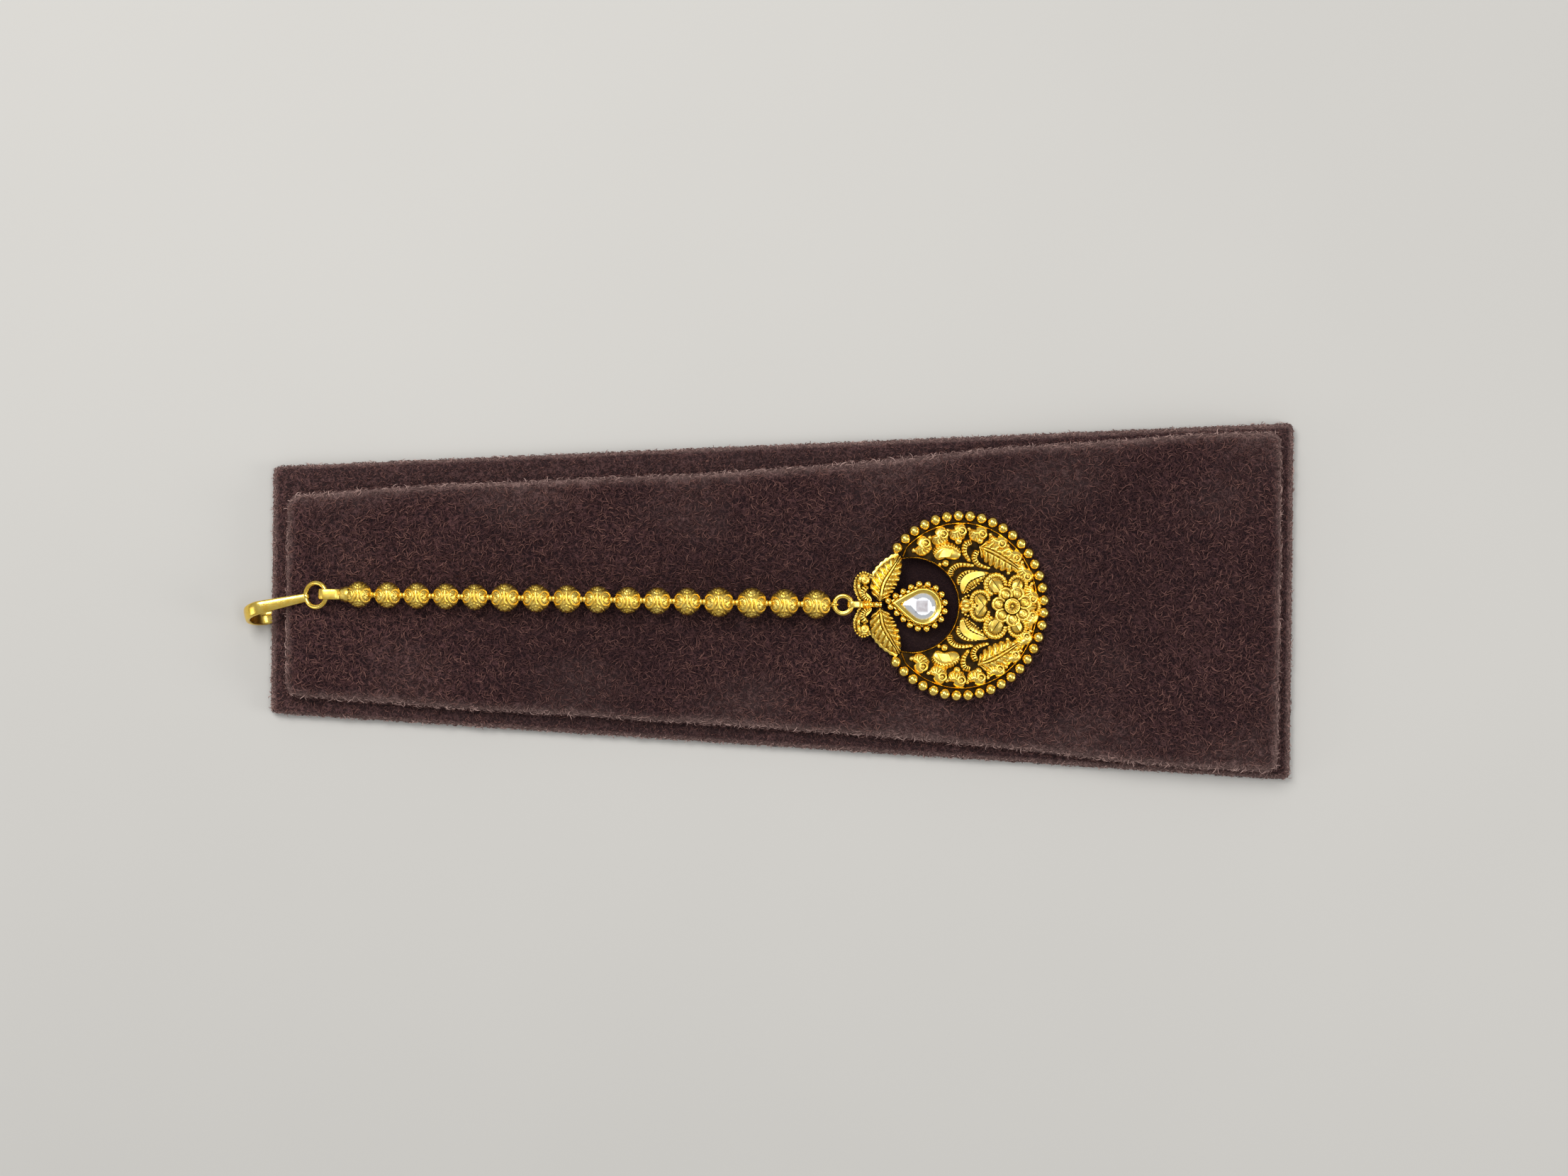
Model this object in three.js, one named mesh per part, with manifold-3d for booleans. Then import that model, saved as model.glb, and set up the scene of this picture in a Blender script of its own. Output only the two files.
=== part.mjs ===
// A maang tikka lying on its display pad, in millimetres.
// +X runs along the tikka from the hook to the pendant, +Y across, +Z up.
// The pad is a board with a raised cushion on it, both wrapped in plush. The hook goes over the board's
// narrow end, the chain lies along the cushion, and the pendant rests on it with its top end a little raised.
import * as THREE from "three";
import { mergeVertices } from "three/addons/utils/BufferGeometryUtils.js";
import Module from "manifold-3d";

const wasm = await Module();
wasm.setup();

// ---- Driving dimensions ----

const GAP = 0.25; // how far a piece lies above the plush, and apart from its neighbour
const BOARD = { length: 174, narrow: 42, wide: 61, thickness: 3, corner: 1.5 };
const CUSHION = { thickness: 3.3, round: 1.1, lift: 0.2 };
// The cushion's outline: distance along the board, and how far it reaches to each side of the board's middle.
const CUSHION_SECTIONS = [
  { x: -84.3, upper: 15.6, lower: 17.4 },
  { x: -81.5, upper: 16.6, lower: 18.3 },
  { x: -55, upper: 18.4, lower: 19.8 },
  { x: -15, upper: 20.6, lower: 22.0 },
  { x: 10, upper: 22.7, lower: 23.4 },
  { x: 35, upper: 25.6, lower: 25.4 },
  { x: 47, upper: 26.5, lower: 26.2 },
  { x: 58, upper: 27.3, lower: 28.0 },
  { x: 70, upper: 28.5, lower: 28.9 },
  { x: 82, upper: 29.1, lower: 29.3 },
  { x: 84.8, upper: 27.6, lower: 27.8 },
];
const TOP = BOARD.thickness + CUSHION.lift + CUSHION.thickness; // the plush that the tikka lies on

const CHAIN = { firstX: -71.3, firstY: -0.62, yaw: -0.57, gap: 0.5 };
const BEAD_DIAMETERS = [4.4, 4.4, 4.4, 4.4, 4.4, 4.8, 4.7, 4.7, 4.6, 4.5, 4.5, 4.6, 5.0, 5.1, 4.9, 4.9];
const BORE = { radius: 0.8, depth: 0.85 }; // the blind hole at each end of a bead
const CONNECTOR = { radius: 0.5, inset: 0.5 };
const LOOP = { length: 4.0, height: 2.3, wall: 0.45, width: 1.8 };
const COLLAR = { length: 1.0, start: 0.7, end: 1.2 };

const HOOK = {
  reach: 11.1, // from the eye to the outside of the bend
  thickness: 0.9,
  width: 2.3,
  eyeWidth: 1.6,
  tail: 8.8, // the leg under the board, from the bend's centre
  bottom: 0.15,
  yaw: 12.6,
  skew: 0.286, // how far the lower leg lies to one side, for each millimetre down
  overlap: 0.4, // how far the upper leg reaches into the eye's wire
};
const EYE = { radius: 2.05, wire: 0.42, x: -78.6, y: -0.75, legOffset: 0.5 }; // the leg meets it off its middle
const HOOK_DENT = { middle: -3.4, length: 10.6, width: 3.2 }; // where the lower leg beds into the plush under the board

const END_RING = { radius: 1.5, wire: 0.42, clearance: 0.1, rise: 0.4 }; // it rises towards the bail
const BEAD_EYE = { radius: 0.72, wire: 0.2 };
const BAIL = { length: 3.0, height: 2.1, wall: 0.35, width: 1.1 };

const PENDANT = { x: 30.4, y: -1.32, tilt: 3, plate: 0.5, plateInset: 0.3, relief: 1.6 };
const SPINE = { end: -14, overlap: 0.4, width: 1.4, height: 0.8 }; // the bar from the bail to the leaves
const RIM = { u: 14.5, v: 15.15, beads: 36, bead: 1.82, from: 140.6, wall: 0.35, wallInset: 1.25 };
const OPENING = { u: -8.5, radius: 7.9, wall: 0.4, from: 98 };
const DROP = { u: -6.45, v: -0.2, turn: -6, radius: 3.16, tip: 5.35, wall: 0.87, height: 1.9, floor: 0.35 };
const DROP_BEADS = { count: 18, bead: 1.1, offset: 0.68, tipOffset: 0.85 };
// A pear outline: where its round end stops, and the control point of its sides as shares of tip and radius.
const PEAR = { roundTo: 118, controlTip: 0.62, controlRadius: 0.52 };
const TIP_INSET = 1.9; // how far a pear's point moves in for each millimetre that its sides do
const STONE = { gap: 0.12, bottom: 0.6, height: 1.15, bevel: 0.45, tipBevel: 0.675 };
const FLOWER = { u: 8.1, lobes: 7, radius: 2.85, lobe: 0.35, height: 2.1, core: 1.4, dome: 0.6 };

// Motifs of one half, mirrored on the other: centre, direction of the tip in degrees, and size.
const MOTIFS = [
  { kind: "leaf", u: 6.5, v: 8.1, turn: -29, length: 8.6, width: 4.2 },
  { kind: "leaf", u: -12.2, v: 4.75, turn: 64, length: 9.4, width: 4.0 },
  { kind: "leaf", u: 2.3, v: 3.8, turn: -142, length: 5.9, width: 2.2 },
  { kind: "leaf", u: -0.6, v: 6.3, turn: 15, length: 4.6, width: 1.5 },
  { kind: "leaf", u: 0.8, v: 4.8, turn: 38, length: 4.4, width: 1.4 },
  { kind: "leaf", u: 2.7, v: 7.5, turn: -45, length: 4.8, width: 1.6 },
  { kind: "leaf", u: 0.8, v: 9.5, turn: -82, length: 4.6, width: 1.8 },
  { kind: "shell", u: -2.8, v: 9.0, turn: 180, length: 4.5, width: 3.1 },
  { kind: "shell", u: -16.7, v: 2.6, turn: -67, length: 5.4, width: 2.5 },
  { kind: "round", u: 5.9, v: 3.5, turn: 0, length: 3.4, width: 3.4 },
  { kind: "round", u: 9.7, v: 3.5, turn: 0, length: 3.2, width: 3.2 },
  { kind: "round", u: -1.0, v: 10.95, turn: 0, length: 1.3, width: 1.3 },
  { kind: "round", u: 2.8, v: 11.0, turn: 0, length: 1.3, width: 1.3 },
  { kind: "round", u: -3.2, v: 7.1, turn: 0, length: 1.2, width: 1.2 },
  { kind: "round", u: 10.6, v: 5.6, turn: 0, length: 1.2, width: 1.2 },
];
// Motifs on the middle line.
const MIDDLE_MOTIFS = [
  { kind: "round", u: 3.6, v: 0, turn: 0, length: 3.4, width: 3.6 },
  { kind: "round", u: 11.7, v: 0, turn: 0, length: 3.0, width: 3.0 },
  { kind: "round", u: 1.1, v: 0, turn: 0, length: 2.2, width: 3.0 },
  { kind: "round", u: -14.4, v: 0, turn: 0, length: 1.8, width: 1.6 },
];
// Outline shares of a leaf's length and width, and of a shell's length and half width.
const LEAF = { shoulder: -0.35, taper: 0.1, fullness: 0.6 };
const SHELL = { back: 0.3, backWidth: -1.1, tipWidth: 0.3, belly: 0.2, neck: 0.05, neckWidth: 0.95 };
const PAISLEYS = { count: 8, first: 8.5, step: 16.45, inset: 2.5, length: 3.3, width: 2.1 }; // each side
// Openings between the motifs, one half.
const PIERCINGS = [
  { u: 3.3, v: 8.5, radius: 0.45 },
  { u: 3.9, v: 5.1, radius: 0.5 },
  { u: -0.2, v: 7.9, radius: 0.4 },
  { u: -4.9, v: 8.6, radius: 0.45 },
  { u: -8.9, v: 8.7, radius: 0.4 },
  { u: 7.6, v: 5.1, radius: 0.4 },
];

// ---- Materials ----

const material = (color, roughness, metalness) => new THREE.MeshStandardMaterial({ color, roughness, metalness });
const GOLD = material(0xd9a521, 0.25, 1);
const PLUSH = material(0x40262a, 0.95, 0);
const CRYSTAL = material(0xe6e6ea, 0.08, 0);

// ---- Helpers ----

const rad = THREE.MathUtils.degToRad;

/** A closed geometry as a manifold solid, after an optional matrix. */
function solid(geometry, matrix = new THREE.Matrix4()) {
  const bare = geometry.clone().applyMatrix4(matrix);
  bare.deleteAttribute("normal");
  bare.deleteAttribute("uv");
  const merged = mergeVertices(bare, 1e-4);
  return new wasm.Manifold(
    new wasm.Mesh({
      numProp: 3,
      vertProperties: merged.attributes.position.array,
      triVerts: new Uint32Array(merged.index.array),
    }),
  );
}

/** A manifold solid as a three.js geometry. */
function geometryOf(manifold) {
  const mesh = manifold.getMesh();
  const positions = new THREE.BufferAttribute(mesh.vertProperties, mesh.numProp);
  const geometry = new THREE.BufferGeometry();
  geometry.setAttribute("position", positions);
  geometry.setIndex(new THREE.BufferAttribute(mesh.triVerts, 1));
  geometry.computeVertexNormals();
  return geometry;
}

const union = (solids) => geometryOf(wasm.Manifold.union(solids));

const place = (x, y, z, turn = 0) => new THREE.Matrix4().makeRotationZ(rad(turn)).setPosition(x, y, z);

const extrude = (shape, depth, curveSegments = 6) =>
  new THREE.ExtrudeGeometry(shape, { depth, curveSegments, bevelEnabled: false });

/** A named mesh at a place. */
function piece(name, geometry, look, x = 0, y = 0, z = 0) {
  const mesh = new THREE.Mesh(geometry, look);
  mesh.name = name;
  mesh.position.set(x, y, z);
  return mesh;
}

/** A flat band bent into a closed oval loop, standing in the X-Z plane and centred on the origin. */
function bandLoop({ length, height, wall, width }) {
  const oval = (inset) => {
    const radius = height / 2 - inset;
    const straight = length / 2 - height / 2;
    const path = new THREE.Path();
    path.absarc(straight, 0, radius, -Math.PI / 2, Math.PI / 2, false);
    path.absarc(-straight, 0, radius, Math.PI / 2, (3 * Math.PI) / 2, false);
    return path;
  };
  const shape = new THREE.Shape(oval(0).getPoints(5));
  shape.holes.push(new THREE.Path(oval(wall).getPoints(5)));
  return extrude(shape, width).translate(0, 0, -width / 2).rotateX(Math.PI / 2);
}

/** A ring of round wire lying in the X-Y plane. */
const wireRing = ({ radius, wire }) => new THREE.TorusGeometry(radius, wire, 7, 18);

// ---- The display pad ----

function buildBoard() {
  const half = BOARD.length / 2;
  const corners = [
    [-half, -BOARD.narrow / 2],
    [half, -BOARD.wide / 2],
    [half, BOARD.wide / 2],
    [-half, BOARD.narrow / 2],
  ].map(([x, y]) => new THREE.Vector2(x, y));
  const outline = new THREE.Shape();
  corners.forEach((corner, i) => {
    const before = corners[(i + 3) % 4].clone().sub(corner).setLength(BOARD.corner).add(corner);
    const after = corners[(i + 1) % 4].clone().sub(corner).setLength(BOARD.corner).add(corner);
    if (i) outline.lineTo(before.x, before.y);
    else outline.moveTo(before.x, before.y);
    outline.quadraticCurveTo(corner.x, corner.y, after.x, after.y);
  });
  const dentHeight = HOOK.bottom + HOOK.thickness + GAP;
  const dent = new THREE.BoxGeometry(HOOK_DENT.length, HOOK_DENT.width, 2 * dentHeight);
  const at = hookPoint(HOOK_DENT.middle, HOOK.bottom + HOOK.thickness / 2 - hookLegHeight());
  return geometryOf(solid(extrude(outline, BOARD.thickness, 4)).subtract(solid(dent, place(at.x, at.y, 0, HOOK.yaw))));
}

function buildCushion() {
  const upper = CUSHION_SECTIONS.map(({ x, upper: y }) => new THREE.Vector2(x, y));
  const lower = CUSHION_SECTIONS.map(({ x, lower: y }) => new THREE.Vector2(x, -y));
  const outline = new THREE.Shape([...lower, ...upper.reverse()]);
  const geometry = new THREE.ExtrudeGeometry(outline, {
    depth: CUSHION.thickness - 2 * CUSHION.round,
    bevelThickness: CUSHION.round,
    bevelSize: CUSHION.round,
    bevelOffset: -CUSHION.round,
    bevelSegments: 3,
    curveSegments: 1,
  });
  return geometry.translate(0, 0, CUSHION.round);
}

// ---- The hook ----

/** Height of the upper leg's middle above the ground. */
const hookLegHeight = () => TOP + GAP + HOOK.thickness / 2;

/** A point of the hook from above: its legs run along local x, from where the upper leg meets the eye. */
function hookPoint(x, z) {
  const start = new THREE.Vector2(EYE.x - EYE.radius, EYE.y - EYE.legOffset);
  const along = new THREE.Vector2(x, HOOK.skew * z).rotateAround(new THREE.Vector2(), rad(HOOK.yaw));
  return start.add(along);
}

function buildHook() {
  const half = HOOK.thickness / 2;
  const drop = hookLegHeight() - HOOK.bottom - half;
  const bend = drop / 2;
  const centre = -HOOK.reach + bend + half;
  const outline = new THREE.Shape();
  outline.moveTo(HOOK.overlap, half);
  outline.lineTo(centre, half);
  outline.absarc(centre, -bend, bend + half, Math.PI / 2, (3 * Math.PI) / 2, false);
  outline.lineTo(centre + HOOK.tail, -drop - half);
  outline.lineTo(centre + HOOK.tail, -drop + half);
  outline.absarc(centre, -bend, bend - half, (3 * Math.PI) / 2, Math.PI / 2, true);
  outline.lineTo(HOOK.overlap, -half);
  const band = extrude(outline, HOOK.width, 12).translate(0, 0, -HOOK.width / 2).rotateX(Math.PI / 2);
  const at = band.attributes.position;
  for (let i = 0; i < at.count; i++) {
    const [x, y, z] = [at.getX(i), at.getY(i), at.getZ(i)];
    const share = THREE.MathUtils.smoothstep(x, centre, 0) * (z > -bend ? 1 : 0);
    const width = THREE.MathUtils.lerp(1, HOOK.eyeWidth / HOOK.width, share);
    at.setY(i, y * width + HOOK.skew * z);
  }
  const leg = hookLegHeight();
  const start = hookPoint(0, 0);
  const legSolid = solid(band, place(start.x, start.y, leg, HOOK.yaw));
  const rise = chainHeight(0) - leg;
  const tilt = -Math.asin(rise / (2 * EYE.radius));
  const ring = wireRing(EYE).rotateY(tilt).translate(EYE.x, EYE.y, leg + rise / 2);
  return union([legSolid, solid(ring)]);
}

// ---- The chain ----

const beadRadius = (i) => BEAD_DIAMETERS[i] / 2;
const chainHeight = (i) => TOP + GAP + beadRadius(i);

/** Each bead's centre along the chain. */
const beadCentres = [];
BEAD_DIAMETERS.forEach((diameter, i) => {
  const before = beadCentres[i - 1];
  const along = before ? before.along + beadRadius(i - 1) + CHAIN.gap + beadRadius(i) : 0;
  const x = CHAIN.firstX + along * Math.cos(rad(CHAIN.yaw));
  const y = CHAIN.firstY + along * Math.sin(rad(CHAIN.yaw));
  beadCentres.push({ along, place: new THREE.Vector3(x, y, chainHeight(i)) });
});

/** A ball with its holes along X: one at each end, or only the far one. */
function beadGeometry(radius, holes = 2) {
  const lip = Math.sqrt(radius ** 2 - BORE.radius ** 2);
  const edge = Math.asin(BORE.radius / radius);
  const steps = 6;
  const profile = [];
  for (let i = 0; i <= steps; i++) {
    const angle = THREE.MathUtils.lerp(edge, Math.PI - edge, i / steps);
    profile.push(new THREE.Vector2(radius * Math.sin(angle), -radius * Math.cos(angle)));
  }
  const floor = lip - BORE.depth;
  const far = [new THREE.Vector2(BORE.radius, floor), new THREE.Vector2(0, floor)];
  const near = far.map(({ x, y }) => new THREE.Vector2(x, -y)).reverse();
  const start = holes === 2 ? near : [new THREE.Vector2(0, -lip)];
  return new THREE.LatheGeometry([...start, ...profile, ...far], 12).rotateZ(-Math.PI / 2);
}

/** The first bead, with its collar and the band loop that holds the hook's eye. */
function endBeadGeometry() {
  const radius = beadRadius(0);
  const lip = Math.sqrt(radius ** 2 - BORE.radius ** 2);
  const overlap = 0.3;
  const collarLength = COLLAR.length + 2 * overlap;
  const collar = new THREE.CylinderGeometry(COLLAR.end, COLLAR.start, collarLength, 14).rotateZ(-Math.PI / 2);
  const collarX = -lip - COLLAR.length / 2;
  const loopX = -lip - COLLAR.length - LOOP.length / 2 + LOOP.wall / 2;
  return union([
    solid(beadGeometry(radius, 1)),
    solid(collar, place(collarX, 0, 0)),
    solid(bandLoop(LOOP), place(loopX, 0, 0)),
  ]);
}

/** The last bead, with the small eye that holds the end ring. */
function lastBeadGeometry() {
  const radius = beadRadius(BEAD_DIAMETERS.length - 1);
  const eye = new THREE.TorusGeometry(BEAD_EYE.radius, BEAD_EYE.wire, 6, 12).rotateX(Math.PI / 2);
  const eyeX = radius + END_RING.clearance + END_RING.wire;
  return union([solid(beadGeometry(radius, 1).rotateZ(Math.PI)), solid(eye, place(eyeX, 0, 0))]);
}

/** The link between two beads, from inside one bore to inside the next. */
function connector(i) {
  const [from, to] = [beadCentres[i].place, beadCentres[i + 1].place];
  const lips = [i, i + 1].map((n) => Math.sqrt(beadRadius(n) ** 2 - BORE.radius ** 2));
  const length = from.distanceTo(to) - lips[0] - lips[1] + 2 * CONNECTOR.inset;
  const geometry = new THREE.CylinderGeometry(CONNECTOR.radius, CONNECTOR.radius, length, 8).rotateZ(Math.PI / 2);
  const direction = to.clone().sub(from).normalize();
  const middle = lips[0] - CONNECTOR.inset + length / 2;
  const mesh = piece(`link_${String(i + 1).padStart(2, "0")}`, geometry, GOLD);
  mesh.position.copy(from).addScaledVector(direction, middle);
  mesh.quaternion.setFromUnitVectors(new THREE.Vector3(1, 0, 0), direction);
  return mesh;
}

function buildChain() {
  const last = BEAD_DIAMETERS.length - 1;
  const meshes = beadCentres.map(({ place: at }, i) => {
    const plain = `bead_${String(i).padStart(2, "0")}`;
    const name = i === 0 ? "end_bead" : plain;
    const shapes = { 0: endBeadGeometry, [last]: lastBeadGeometry };
    const geometry = shapes[i] ? shapes[i]() : beadGeometry(beadRadius(i));
    const mesh = piece(name, geometry, GOLD, at.x, at.y, at.z);
    mesh.rotation.z = rad(CHAIN.yaw);
    return mesh;
  });
  for (let i = 0; i < last; i++) meshes.push(connector(i));
  return meshes;
}

function buildEndRing() {
  const last = BEAD_DIAMETERS.length - 1;
  const at = beadCentres[last].place;
  const reach = beadRadius(last) + END_RING.clearance + END_RING.wire + END_RING.radius;
  const ring = piece("end_ring", wireRing(END_RING), GOLD, at.x + reach, at.y, at.z + END_RING.rise / 2);
  ring.rotation.y = -Math.asin(END_RING.rise / (2 * END_RING.radius));
  return ring;
}

// ---- The pendant, in its own frame: u to +X, v to +Y, from the middle of its rim ----

/** A leaf outline along +X, centred on the origin, with its tip at +X. */
function leafShape({ length, width }) {
  const shape = new THREE.Shape();
  const [shoulder, taper, reach] = [length * LEAF.shoulder, length * LEAF.taper, width * LEAF.fullness];
  shape.moveTo(-length / 2, 0);
  shape.bezierCurveTo(shoulder, -reach, taper, -reach, length / 2, 0);
  shape.bezierCurveTo(taper, reach, shoulder, reach, -length / 2, 0);
  return shape;
}

/** A paisley outline along +X: a round head at -X and a tail at +X that bends to one side. */
function shellShape({ length, width }) {
  const shape = new THREE.Shape();
  const head = width / 2;
  shape.absarc(-length / 2 + head, 0, head, Math.PI / 2, (3 * Math.PI) / 2, false);
  shape.quadraticCurveTo(length * SHELL.back, head * SHELL.backWidth, length / 2, head * SHELL.tipWidth);
  shape.quadraticCurveTo(length * SHELL.belly, head * SHELL.belly, length * SHELL.neck, head * SHELL.neckWidth);
  return shape;
}

function roundShape({ length, width }) {
  const shape = new THREE.Shape();
  shape.absellipse(0, 0, length / 2, width / 2, 0, 2 * Math.PI, false);
  return shape;
}

const SHAPES = { leaf: leafShape, shell: shellShape, round: roundShape };

/** One motif as a low solid on the plate. A side of -1 makes its mirror image on the other half. */
function motif(row, side = 1) {
  const outline = SHAPES[row.kind](row).getPoints(3).map(({ x, y }) => new THREE.Vector2(x, side * y));
  const geometry = extrude(new THREE.Shape(outline), PENDANT.relief);
  return solid(geometry, place(row.u, side * row.v, 0, side * row.turn));
}

/** A small soldered ball, with its poles up and down. */
const beadBall = (radius) => new THREE.SphereGeometry(radius, 7, 4).rotateX(Math.PI / 2);

/** A point on the bead rim, or inside it by an inset. */
function rimPoint(degrees, inset = 0) {
  const angle = rad(degrees);
  return new THREE.Vector2((RIM.u - inset) * Math.cos(angle), (RIM.v - inset) * Math.sin(angle));
}

/** The crescent between the rim and the round opening. */
function crescentShape(rimInset, openingRadius) {
  const shape = new THREE.Shape();
  const [reach, mouth] = [rad(RIM.from + 1), rad(OPENING.from)];
  shape.absellipse(0, 0, RIM.u - rimInset, RIM.v - rimInset, -reach, reach, false);
  shape.absarc(OPENING.u, 0, openingRadius, mouth, -mouth, true);
  return shape;
}

function buildPendant() {
  const whole = PENDANT.relief;
  const plate = solid(extrude(crescentShape(PENDANT.plateInset, OPENING.radius), PENDANT.plate, 18));
  const outerWall = solid(extrude(crescentShape(RIM.wallInset - RIM.wall, OPENING.radius), whole, 18));
  const hollow = solid(extrude(crescentShape(RIM.wallInset, OPENING.radius + OPENING.wall), 2 * whole, 18));
  const walls = outerWall.subtract(hollow);
  const piercings = PIERCINGS.flatMap(({ u, v, radius }) => {
    const drill = new THREE.CylinderGeometry(radius, radius, 2 * whole, 8).rotateX(Math.PI / 2);
    return [v, -v].map((side) => solid(drill, place(u, side, 0)));
  });
  const beads = Array.from({ length: RIM.beads }, (_, i) => {
    const at = rimPoint(RIM.from - (2 * RIM.from * i) / (RIM.beads - 1));
    return solid(beadBall(RIM.bead / 2), place(at.x, at.y, RIM.bead / 2));
  });
  const paisleys = Array.from({ length: PAISLEYS.count }, (_, i) => {
    const degrees = PAISLEYS.first + PAISLEYS.step * i;
    const at = rimPoint(degrees, PAISLEYS.inset);
    return { kind: "shell", u: at.x, v: at.y, turn: degrees + 90, ...PAISLEYS };
  });
  const halves = [...MOTIFS, ...paisleys].flatMap((row) => [motif(row), motif(row, -1)]);
  const middles = MIDDLE_MOTIFS.map((row) => motif(row));
  const rosette = solid(extrude(rosetteShape(), FLOWER.height), place(FLOWER.u, 0, 0));
  const core = new THREE.SphereGeometry(FLOWER.core, 10, 6).rotateX(Math.PI / 2).scale(1, 1, FLOWER.dome / FLOWER.core);
  const bailU = beadCentres.at(-1).place.x + beadRadius(BEAD_DIAMETERS.length - 1) - PENDANT.x;
  const bailCentre = bailU + 2 * END_RING.wire + END_RING.clearance + 2 * END_RING.radius;
  const bail = solid(bandLoop(BAIL), place(bailCentre, 0, BAIL.height / 2));
  const spineLength = SPINE.end - bailCentre - BAIL.length / 2 + SPINE.overlap;
  const spineBar = new THREE.BoxGeometry(spineLength, SPINE.width, SPINE.height);
  const spine = solid(spineBar, place(SPINE.end - spineLength / 2, 0, SPINE.height / 2));
  const body = [plate.subtract(wasm.Manifold.union(piercings)), walls, ...beads, ...halves, ...middles];
  return union([...body, rosette, solid(core, place(FLOWER.u, 0, FLOWER.height)), bail, spine]);
}

/** The flower's lobed outline. */
function rosetteShape() {
  const { lobes, radius, lobe } = FLOWER;
  const steps = 4 * lobes;
  const points = Array.from({ length: steps }, (_, i) => {
    const angle = (2 * Math.PI * i) / steps;
    return new THREE.Vector2(radius + lobe * Math.cos(lobes * angle), 0).rotateAround(new THREE.Vector2(), angle);
  });
  return new THREE.Shape(points);
}

/** A pear outline with its round end at the origin and its point at -X. */
function pearShape(radius, tip) {
  const turn = rad(PEAR.roundTo);
  const [controlX, controlY] = [-tip * PEAR.controlTip, radius * PEAR.controlRadius];
  const shape = new THREE.Shape();
  shape.absarc(0, 0, radius, -turn, turn, false);
  shape.quadraticCurveTo(controlX, controlY, -tip, 0);
  shape.quadraticCurveTo(controlX, -controlY, radius * Math.cos(-turn), radius * Math.sin(-turn));
  return shape;
}

function buildDropSetting() {
  const shape = pearShape(DROP.radius, DROP.tip);
  const inner = pearShape(DROP.radius - DROP.wall, DROP.tip - TIP_INSET * DROP.wall);
  shape.holes.push(new THREE.Path(inner.getPoints(6)));
  const track = pearShape(DROP.radius + DROP_BEADS.offset, DROP.tip + DROP_BEADS.tipOffset);
  const beads = track.getSpacedPoints(DROP_BEADS.count).slice(0, -1);
  const radius = DROP_BEADS.bead / 2;
  return union([
    solid(extrude(shape, DROP.height, 6)),
    solid(extrude(track, DROP.floor, 6)),
    ...beads.map((at) => solid(beadBall(radius), place(at.x, at.y, radius))),
  ]);
}

function buildStone() {
  const inset = DROP.wall + STONE.gap;
  const outline = pearShape(DROP.radius - inset - STONE.bevel, DROP.tip - TIP_INSET * inset - STONE.tipBevel);
  const geometry = new THREE.ExtrudeGeometry(new THREE.Shape(outline.getPoints(5)), {
    depth: STONE.height - 2 * STONE.bevel,
    bevelThickness: STONE.bevel,
    bevelSize: STONE.bevel,
    bevelSegments: 1,
  });
  return geometry.translate(0, 0, STONE.bottom + STONE.bevel);
}

function buildPendantGroup() {
  const group = new THREE.Group();
  const reach = RIM.u + RIM.bead / 2;
  group.position.set(PENDANT.x, PENDANT.y, TOP + GAP + reach * Math.sin(rad(PENDANT.tilt)));
  group.rotation.y = rad(PENDANT.tilt);
  const drop = new THREE.Group();
  drop.position.set(DROP.u, DROP.v, 0);
  drop.rotation.z = rad(DROP.turn);
  drop.add(piece("drop_setting", buildDropSetting(), GOLD), piece("drop_stone", buildStone(), CRYSTAL));
  group.add(piece("pendant", buildPendant(), GOLD), drop);
  return group;
}

// ---- The whole part ----

const tikka = new THREE.Group();
tikka.add(
  piece("display_board", buildBoard(), PLUSH),
  piece("display_cushion", buildCushion(), PLUSH, 0, 0, BOARD.thickness + CUSHION.lift),
  piece("hook", buildHook(), GOLD),
  ...buildChain(),
  buildEndRing(),
  buildPendantGroup(),
);

// The origin is on the ground, under the middle of the part's bounding box.
const bounds = new THREE.Box3().setFromObject(tikka, true);
const middle = bounds.getCenter(new THREE.Vector3());
tikka.position.set(-middle.x, -middle.y, -bounds.min.z);

export default tikka;
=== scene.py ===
"""The finished look of a maang tikka lying on its plush display pad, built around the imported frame.

Every form is made in millimetres in the frame's own axes, and turned into metres when its mesh is
made: +X runs from the hook to the pendant, +Y across the pad and +Z up from the surface.
"""

from __future__ import annotations

import logging
import math
from collections.abc import Callable, Iterable, Sequence
from dataclasses import dataclass, field
from enum import Enum

import bpy
import numpy as np
from mathutils import Euler, Matrix, Vector


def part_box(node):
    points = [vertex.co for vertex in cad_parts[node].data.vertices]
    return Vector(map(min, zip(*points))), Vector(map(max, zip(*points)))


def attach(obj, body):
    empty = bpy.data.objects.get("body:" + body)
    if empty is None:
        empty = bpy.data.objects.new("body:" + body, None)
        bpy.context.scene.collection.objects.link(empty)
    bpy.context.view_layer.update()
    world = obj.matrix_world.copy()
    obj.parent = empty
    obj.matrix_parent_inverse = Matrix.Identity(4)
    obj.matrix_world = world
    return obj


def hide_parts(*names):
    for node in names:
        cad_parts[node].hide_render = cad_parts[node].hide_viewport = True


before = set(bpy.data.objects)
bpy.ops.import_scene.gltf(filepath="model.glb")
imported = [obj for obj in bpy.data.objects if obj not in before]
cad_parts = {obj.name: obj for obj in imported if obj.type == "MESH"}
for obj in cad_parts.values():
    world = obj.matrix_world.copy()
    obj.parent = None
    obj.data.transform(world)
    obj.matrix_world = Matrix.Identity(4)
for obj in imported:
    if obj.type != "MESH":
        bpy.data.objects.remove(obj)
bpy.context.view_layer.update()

LOG = logging.getLogger("tikka")
MM = 0.001
BODY = "root"
UP = np.array((0.0, 0.0, 1.0))
TAU = 2 * math.pi
# An amount at each point, from two arrays. For a strip it is the height, from the share along
# and the place across.
Relief = Callable[[np.ndarray, np.ndarray], np.ndarray]


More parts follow.
